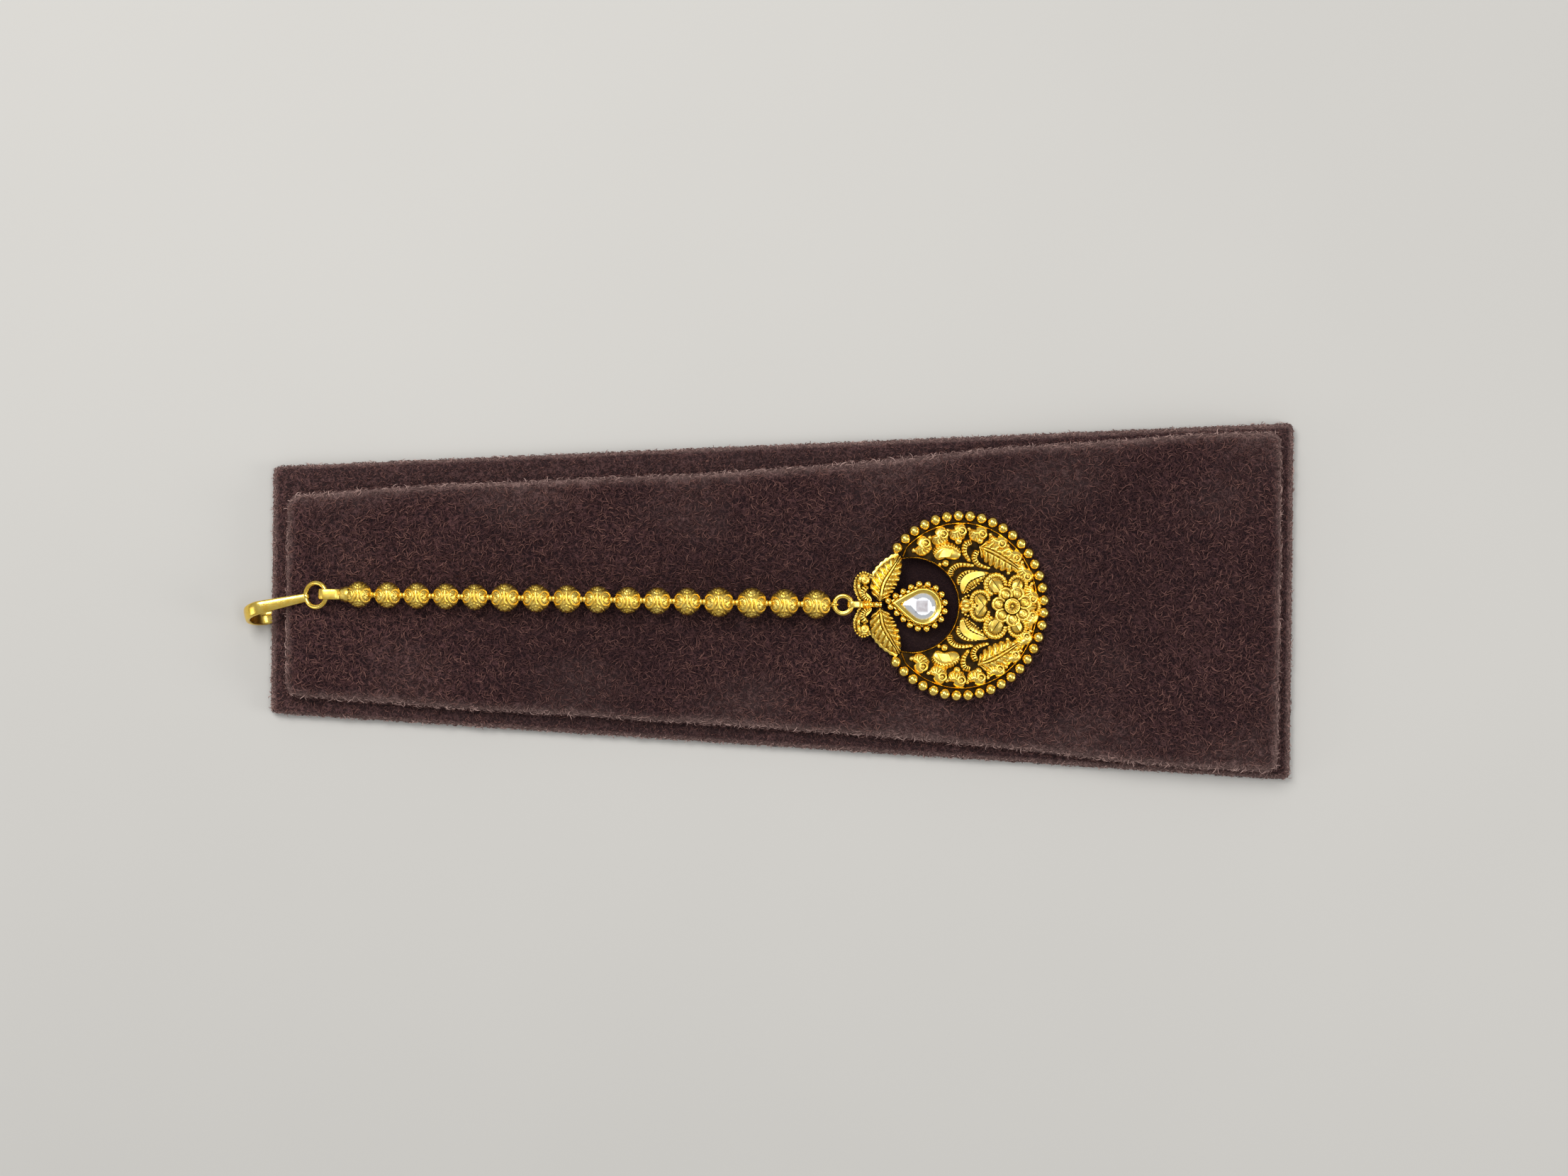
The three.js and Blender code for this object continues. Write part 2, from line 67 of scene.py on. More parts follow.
class Gold(Enum):
    """The ways that the gold is finished."""

    POLISHED = "polished"
    STAMPED = "stamped"
    STRUCK = "struck"
    # A near-black finish that is painted shade, for the back plate.
    PAINTED_SHADE = "dark"


class Slot(Enum):
    """The record's material slots."""

    GOLD = "gold"
    PLUSH = "plush"
    CRYSTAL = "crystal"


# ---- Shader maths ----


class Signal:
    """A socket of numbers that takes part in Python expressions."""

    def __init__(self, tree: "Tree", socket: bpy.types.NodeSocket) -> None:
        """Keeps the socket and the tree that its Math nodes are added to."""
        self.tree = tree
        self.socket = socket

    def _math(self, operation: str, *values: "Signal | float") -> "Signal":
        """Adds one Math node on these values."""
        made = self.tree.node("ShaderNodeMath", {"operation": operation}, dict(enumerate(values)))
        return Signal(self.tree, made.outputs[0])

    def __add__(self, other: "Signal | float") -> "Signal":
        """self + other."""
        return self._math("ADD", self, other)

    def __radd__(self, other: float) -> "Signal":
        """other + self."""
        return self._math("ADD", other, self)

    def __sub__(self, other: "Signal | float") -> "Signal":
        """self - other."""
        return self._math("SUBTRACT", self, other)

    def __rsub__(self, other: float) -> "Signal":
        """other - self."""
        return self._math("SUBTRACT", other, self)

    def __mul__(self, other: "Signal | float") -> "Signal":
        """self * other."""
        return self._math("MULTIPLY", self, other)

    def __rmul__(self, other: float) -> "Signal":
        """other * self."""
        return self._math("MULTIPLY", other, self)

    def __pow__(self, other: float) -> "Signal":
        """self to a power."""
        return self._math("POWER", self, other)

    def magnitude(self) -> "Signal":
        """self without its sign."""
        return self._math("ABSOLUTE", self)

    def or_larger(self, other: "Signal") -> "Signal":
        """The larger of self and other."""
        return self._math("MAXIMUM", self, other)

    def between(self, low: float, high: float) -> "Signal":
        """0 below low and 1 above high, with a straight ramp between them.

        Args:
            low: the value that becomes 0.
            high: the value that becomes 1.

        Returns:
            The ramp as a signal from 0 to 1.
        """
        scaled = (self - low) * (1 / (high - low))
        made = self.tree.node("ShaderNodeClamp", {}, {"Value": scaled})
        return Signal(self.tree, made.outputs[0])


class Tree:
    """A material's node tree, with one method that adds every node."""

    # How far from its middle value a noise counts as part of a curl.
    CURL_WIDTH = 0.055
    # Where along X the paler narrow end of the pad begins and ends.
    NARROW_END = (-88 * MM, -45 * MM)
    # The share of a painted sheen band's height over which it fades in, and out again.
    SHOULDER_FADE = 0.45

    def __init__(self, name: str) -> None:
        """Starts a new material that holds only its output and its Principled shader.

        Args:
            name: the material's name.
        """
        self.material = bpy.data.materials.new(name)
        self.material.use_nodes = True
        self.nodes = self.material.node_tree.nodes
        self.links = self.material.node_tree.links
        self.nodes.clear()
        self.shader = self.node("ShaderNodeBsdfPrincipled")
        self.node("ShaderNodeOutputMaterial", {}, {"Surface": self.shader.outputs[0]})

    def node(
        self, kind: str, settings: dict | None = None, inputs: dict | None = None
    ) -> bpy.types.Node:
        """Adds one node.

        Args:
            kind: the node's type name.
            settings: properties that are set before its sockets are used.
            inputs: a value, a socket or a Signal for each socket, by name or number.

        Returns:
            The new node.
        """
        made = self.nodes.new(kind)
        for key, value in (settings or {}).items():
            setattr(made, key, value)
        self.feed(made, inputs or {})
        return made

    def feed(self, made: bpy.types.Node, inputs: dict) -> None:
        """Sets or links sockets of a node."""
        for key, value in inputs.items():
            source = value.socket if isinstance(value, Signal) else value
            if isinstance(source, bpy.types.NodeSocket):
                self.links.new(source, made.inputs[key])
            else:
                made.inputs[key].default_value = source

    def principled(self, **inputs: object) -> None:
        """Sets or links the shader's own sockets, whose names are written with underscores."""
        self.feed(self.shader, {key.replace("_", " "): value for key, value in inputs.items()})

    def place(self) -> bpy.types.NodeSocket:
        """The point on the object, in metres."""
        return self.node("ShaderNodeTexCoord").outputs["Object"]

    def part(self, axis: str, of: bpy.types.NodeSocket | None = None) -> Signal:
        """One part of a vector, which is the point on the object unless another is given."""
        split = self.node("ShaderNodeSeparateXYZ", {}, {0: of or self.place()})
        return Signal(self, split.outputs[axis])

    def noise(self, scale: float, detail: float) -> Signal:
        """Smooth noise from 0 to 1 over the object.

        Args:
            scale: how many grains there are to a metre.
            detail: how many finer layers are added.

        Returns:
            The noise as a signal.
        """
        inputs = {"Vector": self.place(), "Scale": scale, "Detail": detail}
        return Signal(self, self.node("ShaderNodeTexNoise", {}, inputs).outputs["Fac"])

    def pile_paleness(self) -> Signal:
        """How pale the pile lies: broad soft patches, and paler at the pad's narrow end."""
        near_end = 1 - self.part("X").between(*self.NARROW_END)
        return 0.5 + self.noise(38, 2.0) * 0.9 + 0.55 * near_end

    def shoulder(self, heights: tuple[float, float]) -> Signal:
        """1 on the band where the plush is painted paler as a sheen, and 0 away from it.

        Args:
            heights: the lowest and highest point of the band, in metres.

        Returns:
            The share as a signal.
        """
        height = self.part("Z")
        low, high = heights
        fade = (high - low) * self.SHOULDER_FADE
        return height.between(low, low + fade) * (1 - height.between(high - fade, high))

    def curls(self, scale: float) -> Signal:
        """Thin curling lines: 1 along the middle of each, falling quickly to 0 beside it."""
        from_middle = (self.noise(scale, 1.5) - 0.5).magnitude()
        return 1 - from_middle.between(0.0, self.CURL_WIDTH)

    def mix(
        self, share: Signal, low: Sequence[float], high: Sequence[float]
    ) -> bpy.types.NodeSocket:
        """A colour between two colours.

        Args:
            share: 0 for the first colour and 1 for the second.
            low: the first colour, or its socket.
            high: the second colour, or its socket.

        Returns:
            The colour's socket.
        """
        inputs = {0: share, 6: rgba(low), 7: rgba(high)}
        return self.node("ShaderNodeMix", {"data_type": "RGBA"}, inputs).outputs[2]

    def bump(self, height: Signal, distance: float, strength: float = 1.0) -> None:
        """Feeds a height to the shader's normal.

        Args:
            height: the height as a share of the distance.
            distance: how far in metres a height of 1 stands out.
            strength: how much of it shows.
        """
        inputs = {"Height": height, "Distance": distance, "Strength": strength}
        self.principled(Normal=self.node("ShaderNodeBump", {}, inputs).outputs[0])


def rgba(colour: Sequence[float] | bpy.types.NodeSocket) -> object:
    """A colour with its alpha, or a socket as it is."""
    return colour if isinstance(colour, bpy.types.NodeSocket) else (*colour, 1.0)


# ---- Finishes ----


@dataclass(frozen=True)
class GoldFinish:
    """Rich yellow gold with painted shade darkening its recesses, so what stands out stays bright."""

    name: str
    bright: tuple[float, float, float] = (0.96, 0.70, 0.16)
    warm: tuple[float, float, float] = (0.92, 0.59, 0.085)
    # The colour of the painted shade in the recesses.
    recess_shade: tuple[float, float, float] = (0.05, 0.022, 0.006)
    reach: float = 0.7 * MM
    open_share: tuple[float, float] = (0.20, 0.68)
    roughness: float = 0.24
    worked: float = 0.012 * MM

    def material(self) -> bpy.types.Material:
        """Builds the gold: painted shade darkens the recesses, which are also duller; raised parts
        are bright and polished.
        """
        tree = Tree(self.name)
        # The occlusion below darkens the colour in recesses: this is painted shade.
        settings = {"samples": 6, "only_local": True}
        shade = tree.node("ShaderNodeAmbientOcclusion", settings, {"Distance": self.reach})
        opened = Signal(tree, shade.outputs["AO"]).between(*self.open_share)
        drift = tree.noise(900, 2)
        body = tree.mix(drift.between(0.35, 0.65), self.warm, self.bright)
        grain = tree.noise(5200, 3)
        tree.principled(
            Base_Color=tree.mix(opened, self.recess_shade, body),
            Metallic=1.0,
            Roughness=self.roughness + 0.1 * grain + 0.22 * (1 - opened),
        )
        tree.bump(tree.noise(3600, 2) + 0.4 * grain, self.worked, 0.8)
        return tree.material


@dataclass(frozen=True)
class PlushFinish:
    """The dark ground of the plush between its fibres."""

    sheen_between: tuple[float, float]
    # Where the painted shadow of the pendant lies, and how far it reaches.
    shadow_middle: tuple[float, float, float]
    shadow_radius: float = 14.2 * MM
    # The colour of the painted sheen on the shoulders.
    sheen_colour: tuple[float, float, float] = (0.340, 0.222, 0.195)
    name: str = "plush_ground"
    deep: tuple[float, float, float] = (0.011, 0.0048, 0.0060)
    raised: tuple[float, float, float] = (0.115, 0.051, 0.050)

    def material(self) -> bpy.types.Material:
        """Builds the ground with matted curls, a painted shadow round the pendant and a painted sheen
        on the shoulders.
        """
        tree = Tree(self.name)
        patches = tree.noise(90, 3)
        curls = [tree.curls(scale) for scale in (700, 1100, 1700)]
        matted = curls[0] * 0.5 + curls[1] * 0.7 + curls[2] * 0.5
        lift = (matted * (0.55 + 0.9 * patches) * tree.pile_paleness()).between(0.05, 1.25)
        # A disc round the pendant's middle is darkened: painted shadow of the pendant.
        inputs = {0: tree.place(), 1: self.shadow_middle}
        distance = tree.node("ShaderNodeVectorMath", {"operation": "DISTANCE"}, inputs)
        away = Signal(tree, distance.outputs["Value"])
        unshadowed = 0.06 + 0.94 * away.between(self.shadow_radius * 0.9, self.shadow_radius * 1.05)
        coat = tree.mix(lift * unshadowed, self.deep, self.raised)
        # A painted sheen: a paler band along the shoulders.
        sheen_band = tree.shoulder(self.sheen_between) * (0.3 + 0.7 * matted)
        tree.principled(
            Base_Color=tree.mix(sheen_band, coat, self.sheen_colour),
            Roughness=0.85 + 0.1 * patches,
            Sheen_Weight=0.15,
            Sheen_Roughness=0.5,
            Sheen_Tint=(0.6, 0.28, 0.28, 1.0),
            Specular_IOR_Level=0.1,
        )
        tree.bump(matted, 0.4 * MM, 0.9)
        return tree.material


@dataclass(frozen=True)
class FibreFinish:
    """The curly fibres of the plush, each with a tone of its own."""

    name: str
    sheen_between: tuple[float, float]
    dark: tuple[float, float, float] = (0.034, 0.0140, 0.0155)
    light: tuple[float, float, float] = (0.175, 0.084, 0.070)
    # The colour of the painted sheen on the shoulders.
    sheen_colour: tuple[float, float, float] = (0.500, 0.340, 0.300)

    def material(self) -> bpy.types.Material:
        """Builds the fibre: its tone varies from strand to strand and in broad patches, with a
        painted sheen on the shoulders.
        """
        tree = Tree(self.name)
        own = Signal(tree, tree.node("ShaderNodeNewGeometry").outputs["Random Per Island"])
        patches = tree.noise(120, 2)
        tone = (own ** 1.6) * (0.55 + 0.9 * patches) * tree.pile_paleness()
        coat = tree.mix(tone.between(0.0, 1.0), self.dark, self.light)
        # A painted sheen: a paler band along the shoulders.
        sheen_band = tree.shoulder(self.sheen_between) * (0.25 + 0.75 * own)
        tree.principled(
            Base_Color=tree.mix(sheen_band, coat, self.sheen_colour),
            Roughness=0.7 + 0.2 * patches,
            Sheen_Weight=0.12,
            Sheen_Roughness=0.4,
            Sheen_Tint=(0.7, 0.3, 0.28, 1.0),
            Specular_IOR_Level=0.12,
        )
        return tree.material


@dataclass(frozen=True)
class CrystalFinish:
    """A clear foil-backed stone: bright at its sides, with a rosy grey painted reflection in its
    middle.
    """

    centre: tuple[float, float, float]
    name: str = "foiled_stone"
    bright: tuple[float, float, float] = (0.46, 0.48, 0.51)
    # The colour of the painted reflection in the stone's middle.
    heart: tuple[float, float, float] = (0.055, 0.030, 0.036)
    reflection_edge: tuple[float, float] = (0.85 * MM, 1.25 * MM)

    def material(self) -> bpy.types.Material:
        """Builds the stone as polished foil under a clear coat, with its middle painted as a
        reflection.
        """
        tree = Tree(self.name)
        inputs = {0: tree.place(), 1: self.centre}
        offset = tree.node("ShaderNodeVectorMath", {"operation": "SUBTRACT"}, inputs).outputs[0]
        reach = tree.part("X", offset).magnitude().or_larger(tree.part("Y", offset).magnitude())
        # The rosy grey middle is a painted reflection.
        heart = 1 - reach.between(*self.reflection_edge)
        flaws = tree.noise(1500, 2)
        tree.principled(
            Base_Color=tree.mix(heart * (0.55 + 0.6 * flaws), self.bright, self.heart),
            Metallic=0.2,
            Roughness=0.05 + 0.08 * flaws,
            Coat_Weight=1.0,
            Coat_Roughness=0.02,
            Coat_IOR=1.6,
        )
        return tree.material


@dataclass(frozen=True)
class FloorFinish:
    """A plain pale studio floor."""

    name: str = "studio_floor"
    colour: tuple[float, float, float] = (0.502, 0.486, 0.455)

    def material(self) -> bpy.types.Material:
        """Builds the floor with a faint mottle."""
        tree = Tree(self.name)
        mottle = tree.noise(14, 2)
        shade = tuple(0.95 * part for part in self.colour)
        tree.principled(Base_Color=tree.mix(mottle, shade, self.colour), Roughness=0.7)
        return tree.material


# ---- Forms ----


@dataclass
class Form:
    """A closed form in millimetres, made of four-sided and three-sided faces."""

    points: np.ndarray
    quads: np.ndarray = field(default_factory=lambda: np.zeros((0, 4), int))
    tris: np.ndarray = field(default_factory=lambda: np.zeros((0, 3), int))

    @staticmethod
    def joined(parts: Iterable["Form"]) -> "Form":
        """Several forms as one, each still closed by itself."""
        parts = list(parts)
        starts = np.cumsum([0] + [len(part.points) for part in parts[:-1]])
        return Form(
            np.concatenate([part.points for part in parts]),
            np.concatenate([part.quads + start for part, start in zip(parts, starts)]),
            np.concatenate([part.tris + start for part, start in zip(parts, starts)]),
        )

    def triangles(self) -> np.ndarray:
        """All faces as triangles."""
        return np.concatenate([self.quads[:, [0, 1, 2]], self.quads[:, [0, 2, 3]], self.tris])

    def volume(self) -> float:
        """The signed volume, which is over 0 when the faces look outwards."""
        split = self.triangles()
        a, b, c = (self.points[split[:, i]] for i in range(3))
        return float(np.einsum("ij,ij->i", a, np.cross(b, c)).sum() / 6)

    def outward(self) -> "Form":
        """The same form with its faces looking outwards."""
        if self.volume() < 0:
            return Form(self.points, self.quads[:, ::-1], self.tris[:, ::-1])
        return self

    def moved(self, matrix: Matrix) -> "Form":
        """The form under a matrix whose lengths are in millimetres."""
        grid = np.array(matrix)
        points = self.points @ grid[:3, :3].T + grid[:3, 3]
        return Form(points, self.quads, self.tris).outward()

    def mirrored(self) -> "Form":
        """The form on the other side of the middle line."""
        return Form(self.points * (1.0, -1.0, 1.0), self.quads, self.tris).outward()

    def piece(
        self,
        name: str,
        material: bpy.types.Material,
        slot: Slot,
        replaces: Sequence[str] = (),
        sharp: float = 50.0,
    ) -> bpy.types.Object:
        """Makes the Blender object, and says what it stands for and what it rides on.

        Args:
            name: the piece's name.
            material: its finish.
            slot: the record's slot that the finish belongs to; not used.
            replaces: the frame's nodes that it stands for.
            sharp: edges that turn by more degrees than this stay sharp.

        Returns:
            The new object.
        """
        mesh = bpy.data.meshes.new(name)
        mesh.from_pydata((self.points * MM).tolist(), [], self.quads.tolist() + self.tris.tolist())
        mesh.materials.append(material)
        mesh.shade_smooth()
        mesh.set_sharp_from_angle(angle=math.radians(sharp))
        made = bpy.data.objects.new(name, mesh)
        bpy.context.scene.collection.objects.link(made)
        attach(made, BODY)
        if replaces:
            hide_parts(*replaces)
        stands_for = ", ".join(replaces) or "detail"
        LOG.info("%s: %d triangles, stands for %s", name, len(self.triangles()), stands_for)
        return made


def unit(vectors: np.ndarray) -> np.ndarray:
    """Vectors with a length of 1."""
    return vectors / np.maximum(np.linalg.norm(vectors, axis=-1, keepdims=True), 1e-9)


def curve(marks: Sequence[Sequence[float]], steps: int) -> np.ndarray:
    """A smooth line through a few marks.

    Args:
        marks: the marks, in two or three dimensions.
        steps: how many points the line gets.

    Returns:
        The points in three dimensions.
    """
    marks = np.array([(*mark, 0.0)[:3] for mark in marks], float)
    padded = np.concatenate([[2 * marks[0] - marks[1]], marks, [2 * marks[-1] - marks[-2]]])
    at = np.linspace(0, len(marks) - 1 - 1e-9, steps)
    i, t = at.astype(int), (at % 1)[:, None]
    a, b, c, d = (padded[i + k] for k in range(4))
    square, cube = 2 * a - 5 * b + 4 * c - d, 3 * b - a - 3 * c + d
    return 0.5 * (2 * b + (c - a) * t + square * t**2 + cube * t**3)


def grid_faces(rows: int, columns: int, wrap_rows: bool, wrap_columns: bool) -> np.ndarray:
    """The four-sided faces of a grid of points, joined round in either direction if asked.

    Args:
        rows: how many rows of points there are.
        columns: how many points a row has.
        wrap_rows: whether the last row joins the first.
        wrap_columns: whether each row's last point joins its first.

    Returns:
        The faces' point numbers.
    """
    i = np.arange(rows if wrap_rows else rows - 1)[:, None]
    j = np.arange(columns if wrap_columns else columns - 1)[None, :]
    k, m = (i + 1) % rows, (j + 1) % columns
    corners = [i * columns + j, i * columns + m, k * columns + m, k * columns + j]
    return np.stack(np.broadcast_arrays(*corners), -1).reshape(-1, 4)


def cap(centre: int, start: int, sides: int, up: bool) -> np.ndarray:
    """The fan of faces between a middle point and the ring of points that begins at start.

    Args:
        centre: the middle point's number.
        start: the number of the ring's first point.
        sides: how many points the ring has.
        up: whether the faces look along the turning axis.

    Returns:
        The faces' point numbers.
    """
    here = np.arange(sides)
    after = (here + 1) % sides
    pair = (here, after) if up else (after, here)
    return np.stack([np.full(sides, centre), *(start + side for side in pair)], -1)


def rod(
    path: np.ndarray,
    across: np.ndarray | float,
    height: np.ndarray | float | None = None,
    sides: int = 10,
    closed: bool = False,
    side: np.ndarray | None = None,
    square: float = 1.0,
) -> Form:
    """A rod along a path, with an oval or squared section that may vary.

    Args:
        path: the points of its middle line.
        across: half its width at each point.
        height: half its height at each point, or None for the same as the width.
        sides: how many sides the section has.
        closed: whether the path joins up with its start.
        side: the direction of its width, or None to keep the width level.
        square: 1 for an oval section, and less for a squarer one.

    Returns:
        The rod, with its ends closed.
    """
    count = len(path)
    across = np.broadcast_to(np.asarray(across, float), count)
    height = across if height is None else np.broadcast_to(np.asarray(height, float), count)
    ahead = np.roll(path, -1, 0) - np.roll(path, 1, 0) if closed else np.gradient(path, axis=0)
    ahead = unit(ahead)
    wide = unit(np.cross(UP, ahead)) if side is None else unit(np.broadcast_to(side, path.shape))
    tall = unit(np.cross(ahead, wide))
    angle = TAU * (np.arange(sides) + 0.5) / sides
    turn = [np.sign(part) * np.abs(part) ** square for part in (np.cos(angle), np.sin(angle))]
    ring = wide[:, None] * (across[:, None] * turn[0])[..., None]
    ring = ring + tall[:, None] * (height[:, None] * turn[1])[..., None]
    points = (path[:, None] + ring).reshape(-1, 3)
    quads = grid_faces(count, sides, closed, True)
    if closed:
        return Form(points, quads).outward()
    first = len(points)
    ends = [cap(first, 0, sides, False), cap(first + 1, (count - 1) * sides, sides, True)]
    return Form(np.concatenate([points, path[[0, -1]]]), quads, np.concatenate(ends)).outward()


def through(share: np.ndarray, marks: Sequence[tuple[float, float]]) -> np.ndarray:
    """The value at each share, along straight lines through marks of share and value."""
    return np.interp(share, *np.array(marks).T)


def crowded(count: int) -> np.ndarray:
    """Shares from 0 to 1 that lie closer together near both ends."""
    eased = (1 - np.cos(np.linspace(0, math.pi, count))) / 2
    return 0.5 * eased + 0.5 * np.linspace(0, 1, count)


def ridge(gap: np.ndarray, width: float) -> np.ndarray:
    """1 where the gap is 0, falling smoothly to 0 beyond the width."""
    return np.exp(-((gap / width) ** 2))


def inside(gap: np.ndarray, width: float) -> np.ndarray:
    """1 where the gap is well over 0 and 0 where it is well under, changing over the width."""
    return 1 / (1 + np.exp(np.clip(-gap / width, -40, 40)))


def level(height: float) -> Relief:
    """A relief that has one height all over."""
    return lambda share, _: np.full(share.shape, height)


def circle(angle: np.ndarray, radius: np.ndarray | float = 1.0, height: float = 0.0) -> np.ndarray:
    """Points in three dimensions on a level circle round the origin."""
    tall = np.full(angle.shape, height)
    return np.stack([np.cos(angle) * radius, np.sin(angle) * radius, tall], -1)


def rounded(steps: int, power: float = 2.0) -> np.ndarray:
    """Shares from 0 to 1 and back that round off both ends of a rod."""
    s = np.linspace(-1, 1, steps)
    return np.maximum(1 - np.abs(s) ** power, 0.0) ** (1 / power)


def turned(profile: Sequence[Sequence[float]], sides: int, ripple: Relief | None = None) -> Form:
    """A form turned round the Z axis.

    Args:
        profile: radius and height of each point, from the bottom of the axis to the top of it.
        sides: how many sides it has.
        ripple: what is added to the height, from the radius and the angle.

    Returns:
        The closed form.
    """
    profile = np.array(profile, float)
    rings = profile[1:-1]
    angle = TAU * np.arange(sides) / sides
    radius = np.broadcast_to(rings[:, :1], (len(rings), sides))
    tall = np.broadcast_to(rings[:, 1:], (len(rings), sides)).copy()
    if ripple:
        tall += ripple(radius, np.broadcast_to(angle, radius.shape))
    points = np.stack([radius * np.cos(angle), radius * np.sin(angle), tall], -1).reshape(-1, 3)
    poles = np.array([(0, 0, profile[0, 1]), (0, 0, profile[-1, 1])])
    first = len(points)
    ends = [cap(first, 0, sides, False), cap(first + 1, (len(rings) - 1) * sides, sides, True)]
    quads = grid_faces(len(rings), sides, False, True)
    return Form(np.concatenate([points, poles]), quads, np.concatenate(ends)).outward()


def ball(centre: Sequence[float], radius: float, flat: float = 1.0, sides: int = 14) -> Form:
    """A ball, or a flattened one, round a centre."""
    angle = np.linspace(0, math.pi, sides // 2 + 2)
    profile = np.stack([radius * np.sin(angle), -radius * flat * np.cos(angle)], -1)
    return turned(profile, sides).moved(Matrix.Translation(Vector(centre)))


def ring(
    centre: Sequence[float], radius: float, wire: float, steps: int = 26, sides: int = 8
) -> Form:
    """A ring of round wire that lies flat."""
    path = circle(TAU * np.arange(steps) / steps, radius)
    return rod(path + np.array(centre, float), wire, sides=sides, closed=True)


def strip(left: np.ndarray, right: np.ndarray, height: Relief, across: int, base: float) -> Form:
    """A low relief between two edges, with a flat back.

    Args:
        left: the points of one edge.
        right: the points of the other edge, as many.
        height: the height over the base, from the share along and the place across from -1 to 1.
        across: how many points there are across.
        base: the height of its back.

    Returns:
        The closed relief.
    """
    count = len(left)
    share = np.linspace(0, 1, count)[:, None]
    place = np.linspace(-1, 1, across)[None, :]
    blend = ((place + 1) / 2)[..., None]
    flat = left[:, None, :2] * (1 - blend) + right[:, None, :2] * blend
    share, place = np.broadcast_arrays(share, place)
    tall = (base + height(share, place))[..., None]
    top = np.concatenate([flat, tall], -1).reshape(-1, 3)
    near_edge = np.arange(count) * across
    edge = np.concatenate([near_edge, (near_edge + across - 1)[::-1]])
    back = np.concatenate([top[edge][:, :2], np.full((len(edge), 1), base - 0.02)], -1)
    start = len(top)
    quads = [grid_faces(count, across, False, False)]
    i = np.arange(count - 1)
    mate = start + 2 * count - 1
    quads.append(np.stack([start + i, start + i + 1, mate - i - 1, mate - i], -1))
    quads.append(np.stack([i * across, (i + 1) * across, start + i + 1, start + i], -1))
    far = i * across + across - 1
    quads.append(np.stack([far + across, far, mate - i, mate - i - 1], -1))
    tris = [end_fan(np.arange(across), start, mate, True)]
    last_row = (count - 1) * across + np.arange(across)
    tris.append(end_fan(last_row, start + count - 1, start + count, False))
    return Form(np.concatenate([top, back]), np.concatenate(quads), np.concatenate(tris)).outward()


def end_fan(row: np.ndarray, near: int, far: int, first: bool) -> np.ndarray:
    """The faces that close one end of a strip, between its end row and two back corners.

    Args:
        row: the numbers of the end row's points.
        near: the back corner by its first point.
        far: the back corner by its last point.
        first: whether it is the strip's first end.

    Returns:
        The faces' point numbers.
    """
    loop = np.concatenate([[near], row, [far]])
    faces = np.stack([np.full(len(loop) - 2, loop[0]), loop[1:-1], loop[2:]], -1)
    return faces if first else faces[:, ::-1]


def edges_of(path: np.ndarray, half: np.ndarray) -> tuple[np.ndarray, np.ndarray]:
    """The two edges of a band of varying width round a level path.

    Args:
        path: the points of the band's middle line.
        half: half its width at each point.

    Returns:
        The left and the right edge, in two dimensions.
    """
    ahead = unit(np.gradient(path[:, :2], axis=0))
    normal = np.stack([-ahead[:, 1], ahead[:, 0]], -1)
    half = np.asarray(half, float)[:, None]
    return path[:, :2] + normal * half, path[:, :2] - normal * half


def border(outline: np.ndarray, profile: Sequence[Sequence[float]]) -> Form:
    """A moulded border that follows a closed outline.

    Args:
        outline: the level outline.
        profile: how far outside the outline each point of its closed section is, and its height.

    Returns:
        The closed border.
    """
    ahead = unit(np.roll(outline, -1, 0) - np.roll(outline, 1, 0))
    normal = np.stack([ahead[:, 1], -ahead[:, 0]], -1)
    section = np.array(profile, float)
    flat = outline[:, None] + normal[:, None] * section[None, :, :1]
    tall = np.broadcast_to(section[None, :, 1:], (len(outline), len(section), 1))
    points = np.concatenate([flat, tall], -1).reshape(-1, 3)
    return Form(points, grid_faces(len(outline), len(section), True, True)).outward()


def node_box(node: str) -> tuple[np.ndarray, np.ndarray]:
    """A frame node's lowest and highest corners, in millimetres."""
    low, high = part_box(node)
    return np.array(low) / MM, np.array(high) / MM


# ---- The display pad ----


